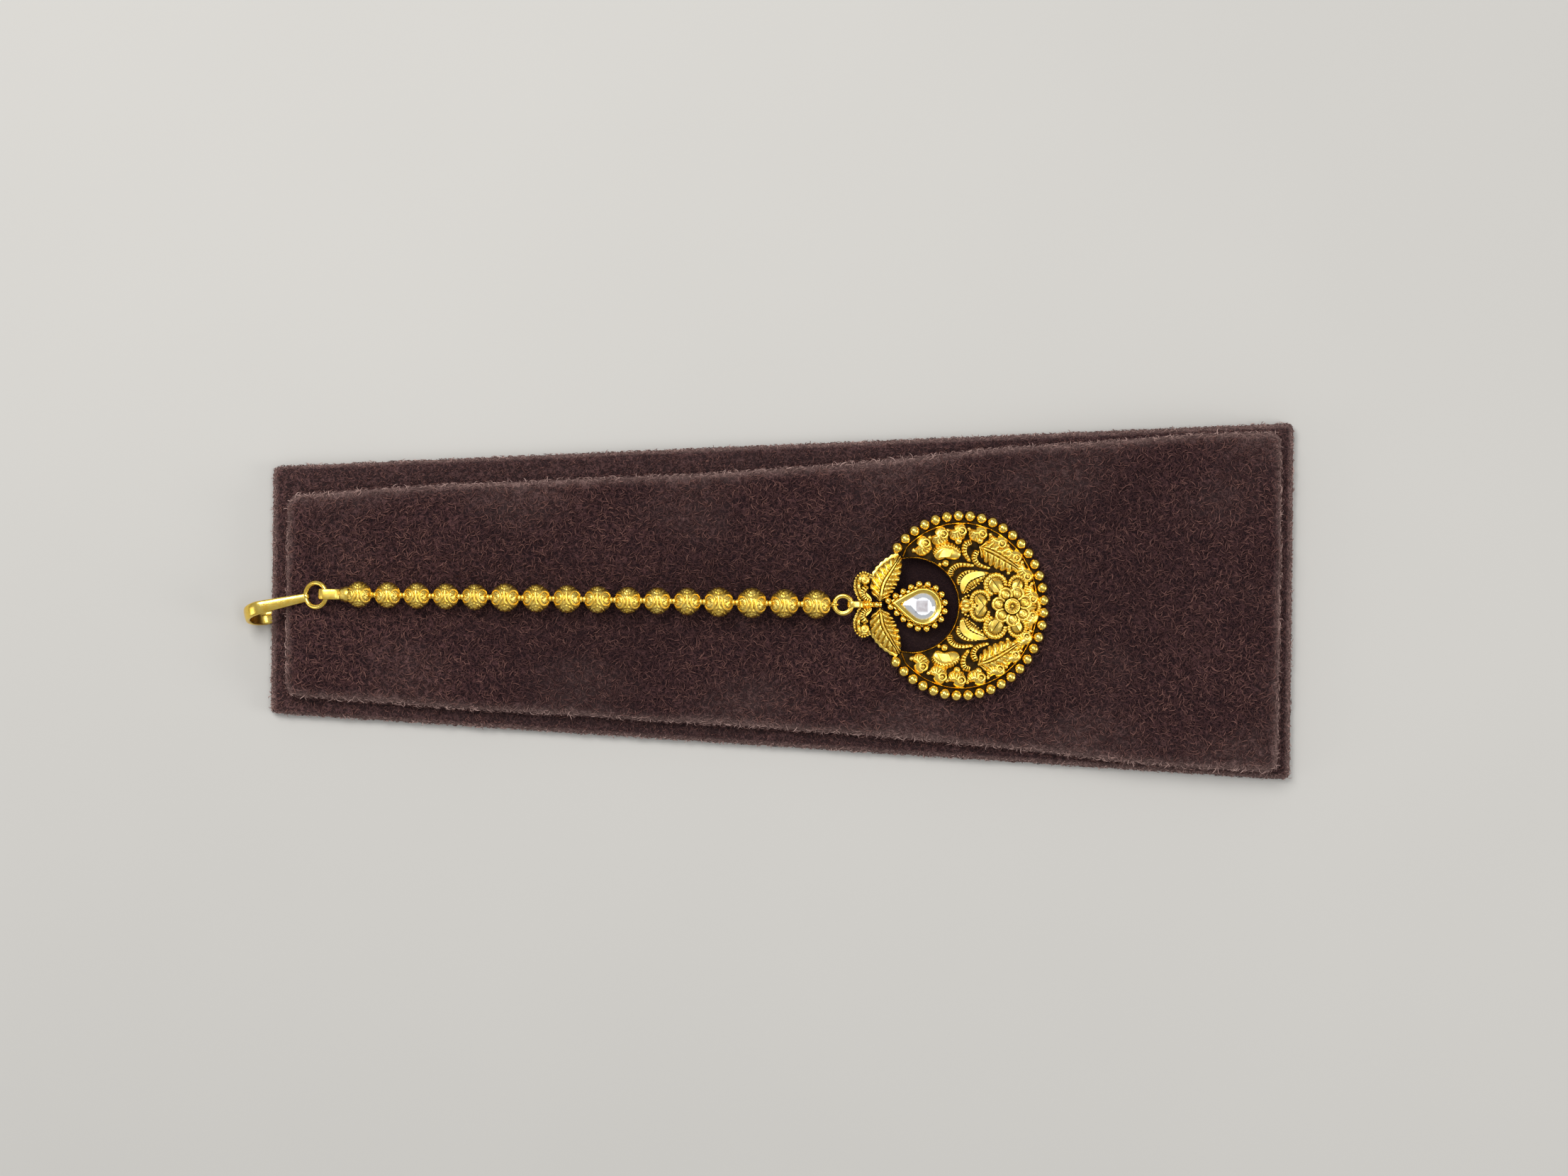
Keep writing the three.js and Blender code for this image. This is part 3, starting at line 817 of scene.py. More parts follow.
@dataclass
class Pile:
    """Short curly fibres that stand on a plush surface."""

    # How many points, four-sided faces and three-sided faces each strand has.
    STRAND_SIZES = (10, 6, 4)

    density: float = 3.0
    shortest: float = 1.0
    longest: float = 1.9
    thickness: float = 0.07
    above_ground: float = 0.05
    seed: int = 7

    def grow(self, ground: Form, keep: Relief) -> Form:
        """Grows fibres on a form.

        Args:
            ground: the form that they stand on.
            keep: the share of their full length, from points and normals, where 0 is bare.

        Returns:
            All the fibres as one form.
        """
        rng = np.random.default_rng(self.seed)
        faces = ground.triangles()
        a, b, c = (ground.points[faces[:, i]] for i in range(3))
        normals = np.cross(b - a, c - a)
        area = np.linalg.norm(normals, axis=1) / 2
        count = int(area.sum() * self.density)
        chosen = rng.choice(len(faces), count, p=area / area.sum())
        u, v = rng.random((2, count, 1))
        fold = (u + v) > 1
        u, v = np.where(fold, 1 - u, u), np.where(fold, 1 - v, v)
        root = a[chosen] + u * (b - a)[chosen] + v * (c - a)[chosen]
        normal = unit(normals[chosen])
        share = keep(root, normal)
        shown = share > 0
        root, normal, share = root[shown], normal[shown], share[shown][:, None]
        count = len(root)
        length = rng.uniform(self.shortest, self.longest, (count, 1)) * share
        lean = self._level(rng, normal)
        curl = self._level(rng, normal)
        rise = rng.uniform(0.2, 0.8, (count, 1))
        third = length / 3
        bends = [root - normal * 0.08, root + unit(normal * rise + lean) * third]
        across = np.cross(normal, lean)
        turn = unit(across) * np.sign(np.sum(curl * across, 1, keepdims=True))
        swing = rng.uniform(0.15, 0.75, (count, 1))
        bends.append(bends[1] + unit(lean + turn * swing + normal * 0.1) * third)
        fall = normal * rng.uniform(-0.35, 0.2, (count, 1))
        bends.append(bends[2] + unit(lean * (0.9 - swing) + turn * swing * 1.6 + fall) * third)
        return self._strands(bends, rng)

    @staticmethod
    def _level(rng: np.random.Generator, normal: np.ndarray) -> np.ndarray:
        """A random direction along the surface for each fibre."""
        loose = rng.normal(size=normal.shape)
        return unit(loose - normal * np.sum(loose * normal, axis=1, keepdims=True))

    def _strands(self, bends: Sequence[np.ndarray], rng: np.random.Generator) -> Form:
        """Three-sided strands through their bends, pointed at the tip and closed at the root.

        Args:
            bends: the four points of every strand, from root to tip.
            rng: the source of its random draws.

        Returns:
            All the strands as one form.
        """
        count = len(bends[0])
        thick = self.thickness * rng.uniform(0.7, 1.3, (count, 1))
        ahead = unit(bends[3] - bends[0])
        side = unit(np.cross(ahead, rng.normal(size=ahead.shape)))
        other = np.cross(ahead, side)
        tip = self.STRAND_SIZES[0] - 1
        points = np.empty((count, tip + 1, 3))
        for k in range(3):
            turn = TAU * k / 3
            out = side * math.cos(turn) + other * math.sin(turn)
            for level, share in enumerate((1.0, 1.0, 0.85)):
                points[:, 3 * level + k] = bends[level] + out * thick * share
        points[:, tip] = bends[3]
        points[..., 2] = np.maximum(points[..., 2], self.above_ground)
        start = (tip + 1) * np.arange(count)[:, None, None]
        walls = grid_faces(3, 3, False, True)
        ends = [[6 + k, 6 + (k + 1) % 3, tip] for k in range(3)] + [[2, 1, 0]]
        quads, tris = start + walls, start + np.array(ends)
        return Form(points.reshape(-1, 3), quads.reshape(-1, 4), tris.reshape(-1, 3)).outward()


@dataclass
class DisplayPad:
    """A tapered board and the raised cushion on it, both wrapped in curly plush."""

    sections: tuple[tuple[float, float, float], ...] = (
        # share along the cushion, half width on the +Y side, half width on the -Y side
        (0.0, 16.3, 18.0),
        (0.16, 18.4, 19.8),
        (0.41, 20.6, 22.0),
        (0.56, 22.7, 23.4),
        (0.71, 25.6, 25.4),
        (0.83, 27.2, 27.6),
        (0.92, 28.6, 28.8),
        (1.0, 29.1, 29.3),
    )
    board_ends: tuple[float, float] = (21.0, 30.4)
    cushion_round: float = 2.3
    board_round: float = 1.0
    sunk: float = 0.45
    crown: float = 0.25
    dent_depth: float = 1.35
    dent_half: tuple[float, float] = (6.0, 2.2)
    strands_a_piece: int = 12000
    # The height bands of the painted sheen on the board and the cushion.
    board_sheen: tuple[float, float] = (0.6 * MM, 2.75 * MM)
    cushion_sheen: tuple[float, float] = (3.9 * MM, 6.2 * MM)
    disc_middle: float = 15.3
    disc_reach: float = 14.6
    chain_reach: float = 1.9
    chain_margins: tuple[float, float] = (7.0, 5.0)
    covered_inset: float = 1.5

    def _pillow(
        self,
        ends: tuple[float, float],
        edges: Callable[[np.ndarray], tuple[np.ndarray, np.ndarray]],
        heights: tuple[float, float],
        round_off: float,
        stuffed: bool = False,
        under: Relief | None = None,
    ) -> Form:
        """A flat form with rounded shoulders and corners.

        Args:
            ends: its ends along X.
            edges: the highest and lowest Y at each X.
            heights: its underside and top.
            round_off: the radius of its shoulders.
            stuffed: whether its top bows and waves like a pillow's.
            under: how far its underside is dented at X and Y.

        Returns:
            The closed form.
        """
        rows, columns = (130, 52) if stuffed else (80, 32)
        x = (ends[0] + (ends[1] - ends[0]) * crowded(rows))[:, None]
        high, low = edges(x)
        y = low + (high - low) * crowded(columns)[None, :]
        x = np.broadcast_to(x, y.shape).copy()
        gap_x = np.minimum(x - ends[0], ends[1] - x)
        gap_y = np.minimum(y - low, high - y)
        over_x, over_y = np.maximum(round_off - gap_x, 0), np.maximum(round_off - gap_y, 0)
        over = np.hypot(over_x, over_y)
        pull = np.where(over > round_off, 1 - round_off / np.maximum(over, 1e-6), 0)
        x += pull * over_x * np.sign(sum(ends) / 2 - x)
        y += pull * over_y * np.sign((high + low) / 2 - y)
        over = np.minimum(over, round_off)
        top = np.full_like(x, heights[1] - self.crown)
        if stuffed:
            top += self.crown * (1 - ((2 * y - high - low) / (high - low)) ** 2)
            broad = 0.09 * np.sin(x * 0.21 + 1.3 * np.sin(y * 0.13))
            top += broad + 0.05 * np.sin(y * 0.45 + x * 0.05)
        top = top - round_off + np.sqrt(np.maximum(round_off**2 - over**2, 0))
        dent = under(x, y) if under else 0.0
        foot = np.full_like(x, heights[0]) + dent
        upper = np.stack([x, y, top], -1).reshape(-1, 3)
        lower = np.stack([x, y, foot], -1).reshape(-1, 3)
        faces = grid_faces(rows, columns, False, False)
        size = rows * columns
        i, j = np.arange(rows) * columns, np.arange(columns)
        loop = np.concatenate([j, i[1:] + columns - 1, i[-1] + j[::-1][1:], i[::-1][1:-1]])
        after = np.roll(loop, -1)
        walls = np.stack([loop, after, after + size, loop + size], -1)
        quads = np.concatenate([faces, faces[:, ::-1] + size, walls[:, ::-1]])
        return Form(np.concatenate([upper, lower]), quads).outward()

    def _board_edges(self, x: np.ndarray) -> tuple[np.ndarray, np.ndarray]:
        """The board's tapering sides.

        Args:
            x: where along the board.

        Returns:
            The highest and lowest Y.
        """
        low, high = node_box("display_board")
        share = (x - low[0]) / (high[0] - low[0])
        half = self.board_ends[0] + (self.board_ends[1] - self.board_ends[0]) * share
        middle = (low[1] + high[1]) / 2
        return middle + half, middle - half

    def _cushion_edges(self, x: np.ndarray) -> tuple[np.ndarray, np.ndarray]:
        """The cushion's sides, which flare out to meet the board's.

        Args:
            x: where along the cushion.

        Returns:
            The highest and lowest Y.
        """
        low, high = node_box("display_cushion")
        board = node_box("display_board")
        middle = (board[0][1] + board[1][1]) / 2
        share = (x - low[0]) / (high[0] - low[0])
        along, upper, lower = np.array(self.sections).T
        return middle + np.interp(share, along, upper), middle - np.interp(share, along, lower)

    def _hook_dent(self, x: np.ndarray, y: np.ndarray) -> np.ndarray:
        """The shallow dent in the underside where the hook's lower leg lies.

        Args:
            x: where along the board.
            y: where across the board.

        Returns:
            How deep the dent is.
        """
        hook, board = node_box("hook")[0], node_box("display_board")[0]
        centre = (board[0] + 4.0, hook[1] + 2.6)
        near_x = np.clip((self.dent_half[0] - np.abs(x - centre[0])) / 0.8, 0, 1)
        near_y = np.clip((self.dent_half[1] - np.abs(y - centre[1])) / 0.8, 0, 1)
        return self.dent_depth * near_x * near_y

    def _pressed(self, points: np.ndarray, normals: np.ndarray) -> np.ndarray:
        """Fibres are short under the tikka and missing on the underside.

        Args:
            points: where the fibres stand.
            normals: where the surface faces.

        Returns:
            The share of their full length.
        """
        pendant = node_box("pendant")
        first, last = node_box("end_bead"), node_box("bead_15")
        x, y, z = points.T
        centre = np.array([pendant[1][0] - self.disc_middle, (pendant[0][1] + pendant[1][1]) / 2])
        from_disc = np.linalg.norm(points[:, :2] - centre, axis=1) - self.disc_reach
        ends = [first[0][0], last[1][0]]
        track = np.interp(x, ends, [first[0][1] + 2.2, last[0][1] + 2.4])
        before, after = self.chain_margins
        beyond = np.maximum(ends[0] - before - x, 0) + np.maximum(x - ends[1] - after, 0)
        from_chain = np.hypot(y - track, beyond) - self.chain_reach
        clear = np.clip(np.minimum(from_disc, from_chain) / 1.2, 0, 1)
        share = np.where(from_disc < -1.5, 0.0, 0.3 + 0.7 * clear)
        on_top = z > 5
        faces_down = normals[:, 2] < -0.4
        return np.where(faces_down, 0.0, np.where(on_top, share, 0.7))

    def build(self) -> None:
        """Makes the board, the cushion and their fibres."""
        low, high = node_box("pendant")
        surface = node_box("display_cushion")[1][2]
        # The middle of the painted shadow under the pendant.
        pressed = ((high[0] - 15.4) * MM, (low[1] + high[1]) / 2 * MM, surface * MM)
        sheen_band = {"board": self.board_sheen, "cushion": self.cushion_sheen}
        grounds = {
            part: PlushFinish(band, pressed, name=f"{part}_ground").material()
            for part, band in sheen_band.items()
        }
        fibres = {
            part: FibreFinish(f"{part}_fibre", band).material() for part, band in sheen_band.items()
        }
        low, high = node_box("display_board")
        heights = (low[2], high[2] - 0.1)
        ends = (low[0], high[0])
        edges, dent = self._board_edges, self._hook_dent
        board = self._pillow(ends, edges, heights, self.board_round, under=dent)
        board.piece("display_board_plush", grounds["board"], Slot.PLUSH, ("display_board",))
        low, high = node_box("display_cushion")
        heights = (low[2], high[2] - self.sunk + self.crown)
        ends = (low[0], high[0])
        cushion = self._pillow(ends, self._cushion_edges, heights, self.cushion_round, stuffed=True)
        ground = grounds["cushion"]
        body = cushion.piece("display_cushion_plush", ground, Slot.PLUSH, ("display_cushion",))
        grown = Pile(seed=11).grow(cushion, self._above_board)
        self._cover("cushion_pile", grown, fibres["cushion"])
        grown = Pile(seed=23, longest=1.5, shortest=0.7).grow(board, self._beside_cushion)
        self._cover("board_pile", grown, fibres["board"])

    def _above_board(self, points: np.ndarray, normals: np.ndarray) -> np.ndarray:
        """Fibres of the cushion are missing where it meets the board."""
        foot = node_box("display_cushion")[0][2] + 0.3
        return np.where(points[:, 2] < foot, 0.0, self._pressed(points, normals))

    def _beside_cushion(self, points: np.ndarray, normals: np.ndarray) -> np.ndarray:
        """Fibres of the board are missing at its foot and where the cushion covers it.

        Args:
            points: where the fibres stand.
            normals: where the surface faces.

        Returns:
            The share of their full length.
        """
        x, y, z = points.T
        first, last = node_box("display_cushion")
        high, low = self._cushion_edges(x)
        inset = self.covered_inset
        covered = (y < high - inset) & (y > low + inset)
        covered &= (x > first[0] + inset) & (x < last[0] - inset)
        return np.where((z < 0.4) | covered, 0.0, self._pressed(points, normals))

    def _cover(self, name: str, grown: Form, fibre: bpy.types.Material) -> None:
        """Makes grown fibres into pieces of limited size.

        Args:
            name: the pieces' name, to which each adds its number.
            grown: all the fibres.
            fibre: their finish.
        """
        points, quads, tris = Pile.STRAND_SIZES
        strands = len(grown.points) // points
        parts = max(1, math.ceil(strands / self.strands_a_piece))
        for part in range(parts):
            start, stop = strands * part // parts, strands * (part + 1) // parts
            some = Form(
                grown.points[points * start : points * stop],
                grown.quads[quads * start : quads * stop] - points * start,
                grown.tris[tris * start : tris * stop] - points * start,
            )
            some.piece(f"{name}_{part + 1}", fibre, Slot.PLUSH, sharp=180.0)


# ---- The hook ----


@dataclass
class BandLoop:
    """A flat band bent into a long upright loop and soldered."""

    length: float
    height: float
    wall: float
    half_width: float
    bend_steps: int
    sides: int
    square: float

    def form(self, middle: Sequence[float]) -> Form:
        """The loop round its middle, long along X and tall along Z.

        Args:
            middle: the place of its middle.

        Returns:
            The closed loop.
        """
        radius = self.height / 2 - self.wall / 2
        straight = self.length / 2 - self.height / 2
        angles = np.linspace(-math.pi / 2, math.pi / 2, self.bend_steps)
        right = [(straight + radius * math.cos(a), radius * math.sin(a)) for a in angles]
        oval = np.array([(x, 0.0, z) for x, z in right + [(-x, -z) for x, z in right]])
        across = np.array((0.0, 1.0, 0.0))
        path = oval + np.array(middle)
        return rod(path, self.half_width, self.wall / 2, self.sides, True, across, self.square)


@dataclass
class Hook:
    """A flat band bent over the pad's end, with a round eye soldered to it."""

    width: float = 2.3
    eye_width: float = 1.5
    thickness: float = 0.9
    eye_radius: float = 2.05
    eye_wire: float = 0.42
    yaw: float = 12.6
    skew: float = 0.286
    tail: float = 8.8
    end_width: float = 1.2
    reach: float = 11.1
    clearance: float = 0.25
    eye_lean: float = 0.905

    def _line(self, reach: float, bend: float) -> np.ndarray:
        """The band's middle line in its own plane: the upper leg, the bend and the lower leg.

        Args:
            reach: how far the upper leg runs back from the eye.
            bend: the radius of the bend.

        Returns:
            How far along and how high each point is.
        """
        top = [(x, 0.0) for x in np.linspace(0.3, -reach, 14)]
        angles = np.linspace(math.pi / 2, 1.5 * math.pi, 30)[1:-1]
        turn = [(-reach + bend * math.cos(a), -bend + bend * math.sin(a)) for a in angles]
        under = [(x, -2 * bend) for x in np.linspace(-reach, self.tail - reach, 12)]
        return np.array(top + turn + under)

    def build(self, gold: bpy.types.Material) -> None:
        """Makes the band and its eye as one soldered piece.

        Args:
            gold: its finish.
        """
        low, high = node_box("hook")
        eye_x = high[0] - self.eye_radius * self.eye_lean - self.eye_wire
        upper = node_box("display_cushion")[1][2] + self.clearance + self.thickness / 2
        lower = low[2] + self.thickness / 2
        bend = (upper - lower) / 2
        rise = high[2] - self.eye_wire - upper
        eye_y = high[1] - self.eye_radius - self.eye_wire
        start = np.array([eye_x - self.eye_radius, eye_y - 0.5])
        reach = self.reach - bend - self.thickness / 2
        line = self._line(reach, bend)
        yaw = math.radians(self.yaw)
        side = np.array([-math.sin(yaw), math.cos(yaw), 0.0])
        along = np.array([math.cos(yaw), math.sin(yaw), 0.0])
        upright = UP + side * self.skew
        path = np.array([*start, upper]) + line[:, :1] * along + line[:, 1:] * upright
        span = np.linspace(0, 1, len(line))
        widths = [self.eye_width, self.width, self.width, self.end_width]
        half = np.interp(span, [0, 0.3, 0.94, 1], widths) / 2
        band = rod(path, half, self.thickness / 2, sides=20, side=side, square=0.62)
        tilt = Matrix.Rotation(-math.asin(rise / (2 * self.eye_radius)), 4, "Y")
        seat = Matrix.Translation(Vector((eye_x, eye_y, upper + rise / 2)))
        eye = ring((0, 0, 0), self.eye_radius, self.eye_wire, 48, 14).moved(seat @ tilt)
        collar = ball((start[0] + 0.25, start[1] + 0.25, upper + 0.05), 0.62, 0.8, 18)
        Form.joined([band, eye, collar]).piece("hook_band", gold, Slot.GOLD, ("hook",))


# ---- The chain ----


@dataclass
class Chain:
    """Stamped hollow beads made of two half shells, joined by short links."""

    beads: int = 16
    rings: int = 72
    sides: int = 84
    bore: float = 0.8
    groove: float = 0.07
    # The direction of a lens's middle: its parts along the chain and up.
    lens_axis: tuple[float, float] = (0.75, 0.661)
    # How far a bead may be turned round the chain, in degrees.
    most_roll: float = 9.0
    shell_share: float = 0.975
    link_overlap: float = 0.35
    collar: tuple[tuple[float, float], ...] = (
        # radius, height
        (0.0, -2.1), (0.55, -2.1), (0.75, -1.75), (0.68, -1.5), (0.95, -1.3), (0.88, -1.05),
        (1.15, -0.85), (1.1, -0.55), (1.35, -0.3), (1.3, 0.3), (0.0, 0.3),
    )
    loop: "BandLoop" = field(default_factory=lambda: BandLoop(4.0, 2.3, 0.45, 0.9, 14, 18, 0.75))
    eye_radius: float = 0.72
    eye_wire: float = 0.2

    @staticmethod
    def name(i: int) -> str:
        """The frame's name for a bead."""
        return "end_bead" if i == 0 else f"bead_{i:02d}"

    def seat(self, i: int) -> tuple[np.ndarray, float]:
        """A bead's centre and radius, from the frame.

        Args:
            i: the bead's number from the hook, from 0.

        Returns:
            The centre and the radius.
        """
        low, high = node_box(self.name(i))
        radius = (high[2] - low[2]) / 2
        lip = math.sqrt(radius**2 - self.bore**2)
        x = high[0] - lip if i == 0 else low[0] + lip
        return np.array([x, (low[1] + high[1]) / 2, (low[2] + high[2]) / 2]), radius

    def relief(self, n: np.ndarray) -> np.ndarray:
        """How far the stamping raises or sinks the bead, as a share of its radius.

        Args:
            n: directions from the bead's centre, with X along the chain.

        Returns:
            The share at each direction.
        """
        x, y, z = n[:, 0], n[:, 1], np.abs(n[:, 2])
        ax, ay = np.abs(x), np.abs(y)
        lens_x, lens_z = self.lens_axis
        # Two round lenses on each half shell: a rim between two grooves, petals and a boss.
        away = np.degrees(np.arccos(np.clip(lens_x * ax + lens_z * z, -1, 1)))
        rim_grooves = ridge(away - 41.0, 3.8) + 0.9 * ridge(away - 27.0, 3.4)
        out = 0.040 * ridge(away - 34.0, 3.2) - self.groove * rim_grooves
        round_lens = np.arctan2(y, lens_z * ax - lens_x * z)
        out -= 0.036 * np.cos(13 * round_lens) * inside(away - 9, 1.5) * inside(24 - away, 1.5)
        out += 0.045 * ridge(away, 7.0)
        # A grooved bar with raised ends between the lenses.
        between = inside(away - 43.0, 1.3)
        bar = inside(0.37 - ay, 0.025)
        bar_relief = 0.035 * inside(0.10 - ax, 0.02) - 1.3 * self.groove * ridge(ax - 0.17, 0.045)
        out += between * bar * bar_relief
        out += between * 0.045 * ridge(ay - 0.43, 0.05) * inside(0.34 - ax, 0.03)
        # A roped chevron on each side, and a coarser rope beyond it.
        chevron = ay - 0.56 - 0.35 * ax
        out -= between * 1.1 * self.groove * (ridge(chevron, 0.05) + ridge(chevron - 0.17, 0.045))
        out += between * ridge(chevron - 0.085, 0.045) * (0.02 + 0.035 * np.cos(26 * x))
        out += 0.026 * inside(ay - 0.76, 0.02) * np.cos(18 * x + 16 * z)
        # The seam of the two half shells, and the flat poles round the bore.
        out += 0.02 * ridge(z, 0.06) - 0.02 * ridge(z - 0.15, 0.04)
        pole = inside(ax - 0.965, 0.006)
        return out * (1 - pole) - 0.03 * pole

    def ball_form(self, centre: np.ndarray, radius: float, roll: float) -> Form:
        """One stamped bead.

        Args:
            centre: its centre.
            radius: its radius.
            roll: how far it is turned round the chain, in degrees.

        Returns:
            The bead's form.
        """
        angle = np.linspace(0, math.pi, self.rings + 2)
        plain = turned(np.stack([np.sin(angle), -np.cos(angle)], -1), self.sides)
        plain = plain.moved(Matrix.Rotation(math.pi / 2, 4, "Y"))
        n = unit(plain.points)
        reach = radius * self.shell_share * (1 + self.relief(n))
        made = Form(n * reach[:, None], plain.quads, plain.tris)
        turn = Matrix.Rotation(math.radians(roll), 4, "X")
        return made.moved(Matrix.Translation(Vector(centre)) @ turn)

    def end_fittings(self) -> Form:
        """The scalloped collar and the flat band loop before the first bead."""
        centre, radius = self.seat(0)
        low = node_box("end_bead")[0]
        at = Matrix.Translation(Vector(centre) - Vector((radius * 0.93, 0, 0)))
        along_chain = Matrix.Rotation(math.pi / 2, 4, "Y")
        neck = turned(self.collar, 45, self._scallop).moved(at @ along_chain)
        loop = self.loop.form((low[0] + self.loop.length / 2, centre[1], centre[2]))
        return Form.joined([neck, loop])

    @staticmethod
    def _scallop(radius: np.ndarray, angle: np.ndarray) -> np.ndarray:
        """The nine small lobes of the collar's wide end."""
        return 0.05 * np.cos(9 * angle) * (radius > 0.8)

    def end_eye(self) -> Form:
        """The small eye after the last bead."""
        centre, radius = self.seat(self.beads - 1)
        at = Matrix.Translation(Vector(centre) + Vector((radius + 0.52, 0, 0)))
        upright = Matrix.Rotation(math.pi / 2, 4, "X")
        eye = ring((0, 0, 0), self.eye_radius, self.eye_wire, 24, 8).moved(at @ upright)
        return Form.joined([eye, ball(centre + np.array([radius * 0.93, 0, 0]), 0.5, 1.0, 14)])

    def link_form(self, i: int) -> Form:
        """The short link between two beads: a narrow waist with a lip at each bead.

        Args:
            i: the number of the bead before it.

        Returns:
            The link.
        """
        (start, r0), (stop, r1) = self.seat(i), self.seat(i + 1)
        ahead = unit(stop - start)
        first = start + ahead * (r0 - self.link_overlap)
        last = stop - ahead * (r1 - self.link_overlap)
        share = np.linspace(0, 1, 13)
        path = first * (1 - share[:, None]) + last * share[:, None]
        waist = 0.62 - 0.14 * np.sin(math.pi * share) ** 2 + 0.06 * np.cos(6 * math.pi * share)
        return rod(path, waist, waist * 0.9, sides=14, square=0.8)

    def build(self, gold: bpy.types.Material) -> None:
        """Makes every bead and link as a piece of its own.

        Args:
            gold: their finish.
        """
        rolls = np.random.default_rng(5).uniform(-self.most_roll, self.most_roll, self.beads)
        last = self.beads - 1
        fittings = {0: self.end_fittings, last: self.end_eye}
        for i in range(self.beads):
            centre, radius = self.seat(i)
            parts = [self.ball_form(centre, radius, float(rolls[i]))]
            if i in fittings:
                parts.append(fittings[i]())
            name = self.name(i)
            Form.joined(parts).piece(f"stamped_{name}", gold, Slot.GOLD, (name,), sharp=75.0)
        for i in range(last):
            node = f"link_{i + 1:02d}"
            self.link_form(i).piece(f"joining_{node}", gold, Slot.GOLD, (node,))


@dataclass
class EndRing:
    """The jump ring between the chain and the pendant's bail."""

    wire: float = 0.42
    rise: float = 0.4

    def build(self, gold: bpy.types.Material) -> None:
        """Makes the ring with a fine groove round its top.

        Args:
            gold: its finish.
        """
        low, high = node_box("end_ring")
        centre = (low + high) / 2
        radius = (high[1] - low[1]) / 2 - self.wire
        tilt = Matrix.Rotation(-math.asin(self.rise / (2 * radius)), 4, "Y")
        outer = ring((0, 0, 0), radius + 0.05, self.wire - 0.05, 48, 14)
        inner = ring((0, 0, 0.08), radius - 0.2, 0.2, 48, 10)
        whole = Form.joined([outer, inner]).moved(Matrix.Translation(Vector(centre)) @ tilt)
        whole.piece("end_ring_wire", gold, Slot.GOLD, ("end_ring",))


# ---- The pendant ----


def grooves(phase: np.ndarray, width: float) -> np.ndarray:
    """1 at each whole number of the phase, falling to 0 beyond the width."""
    return np.exp(-(((phase - np.round(phase)) / width) ** 2))


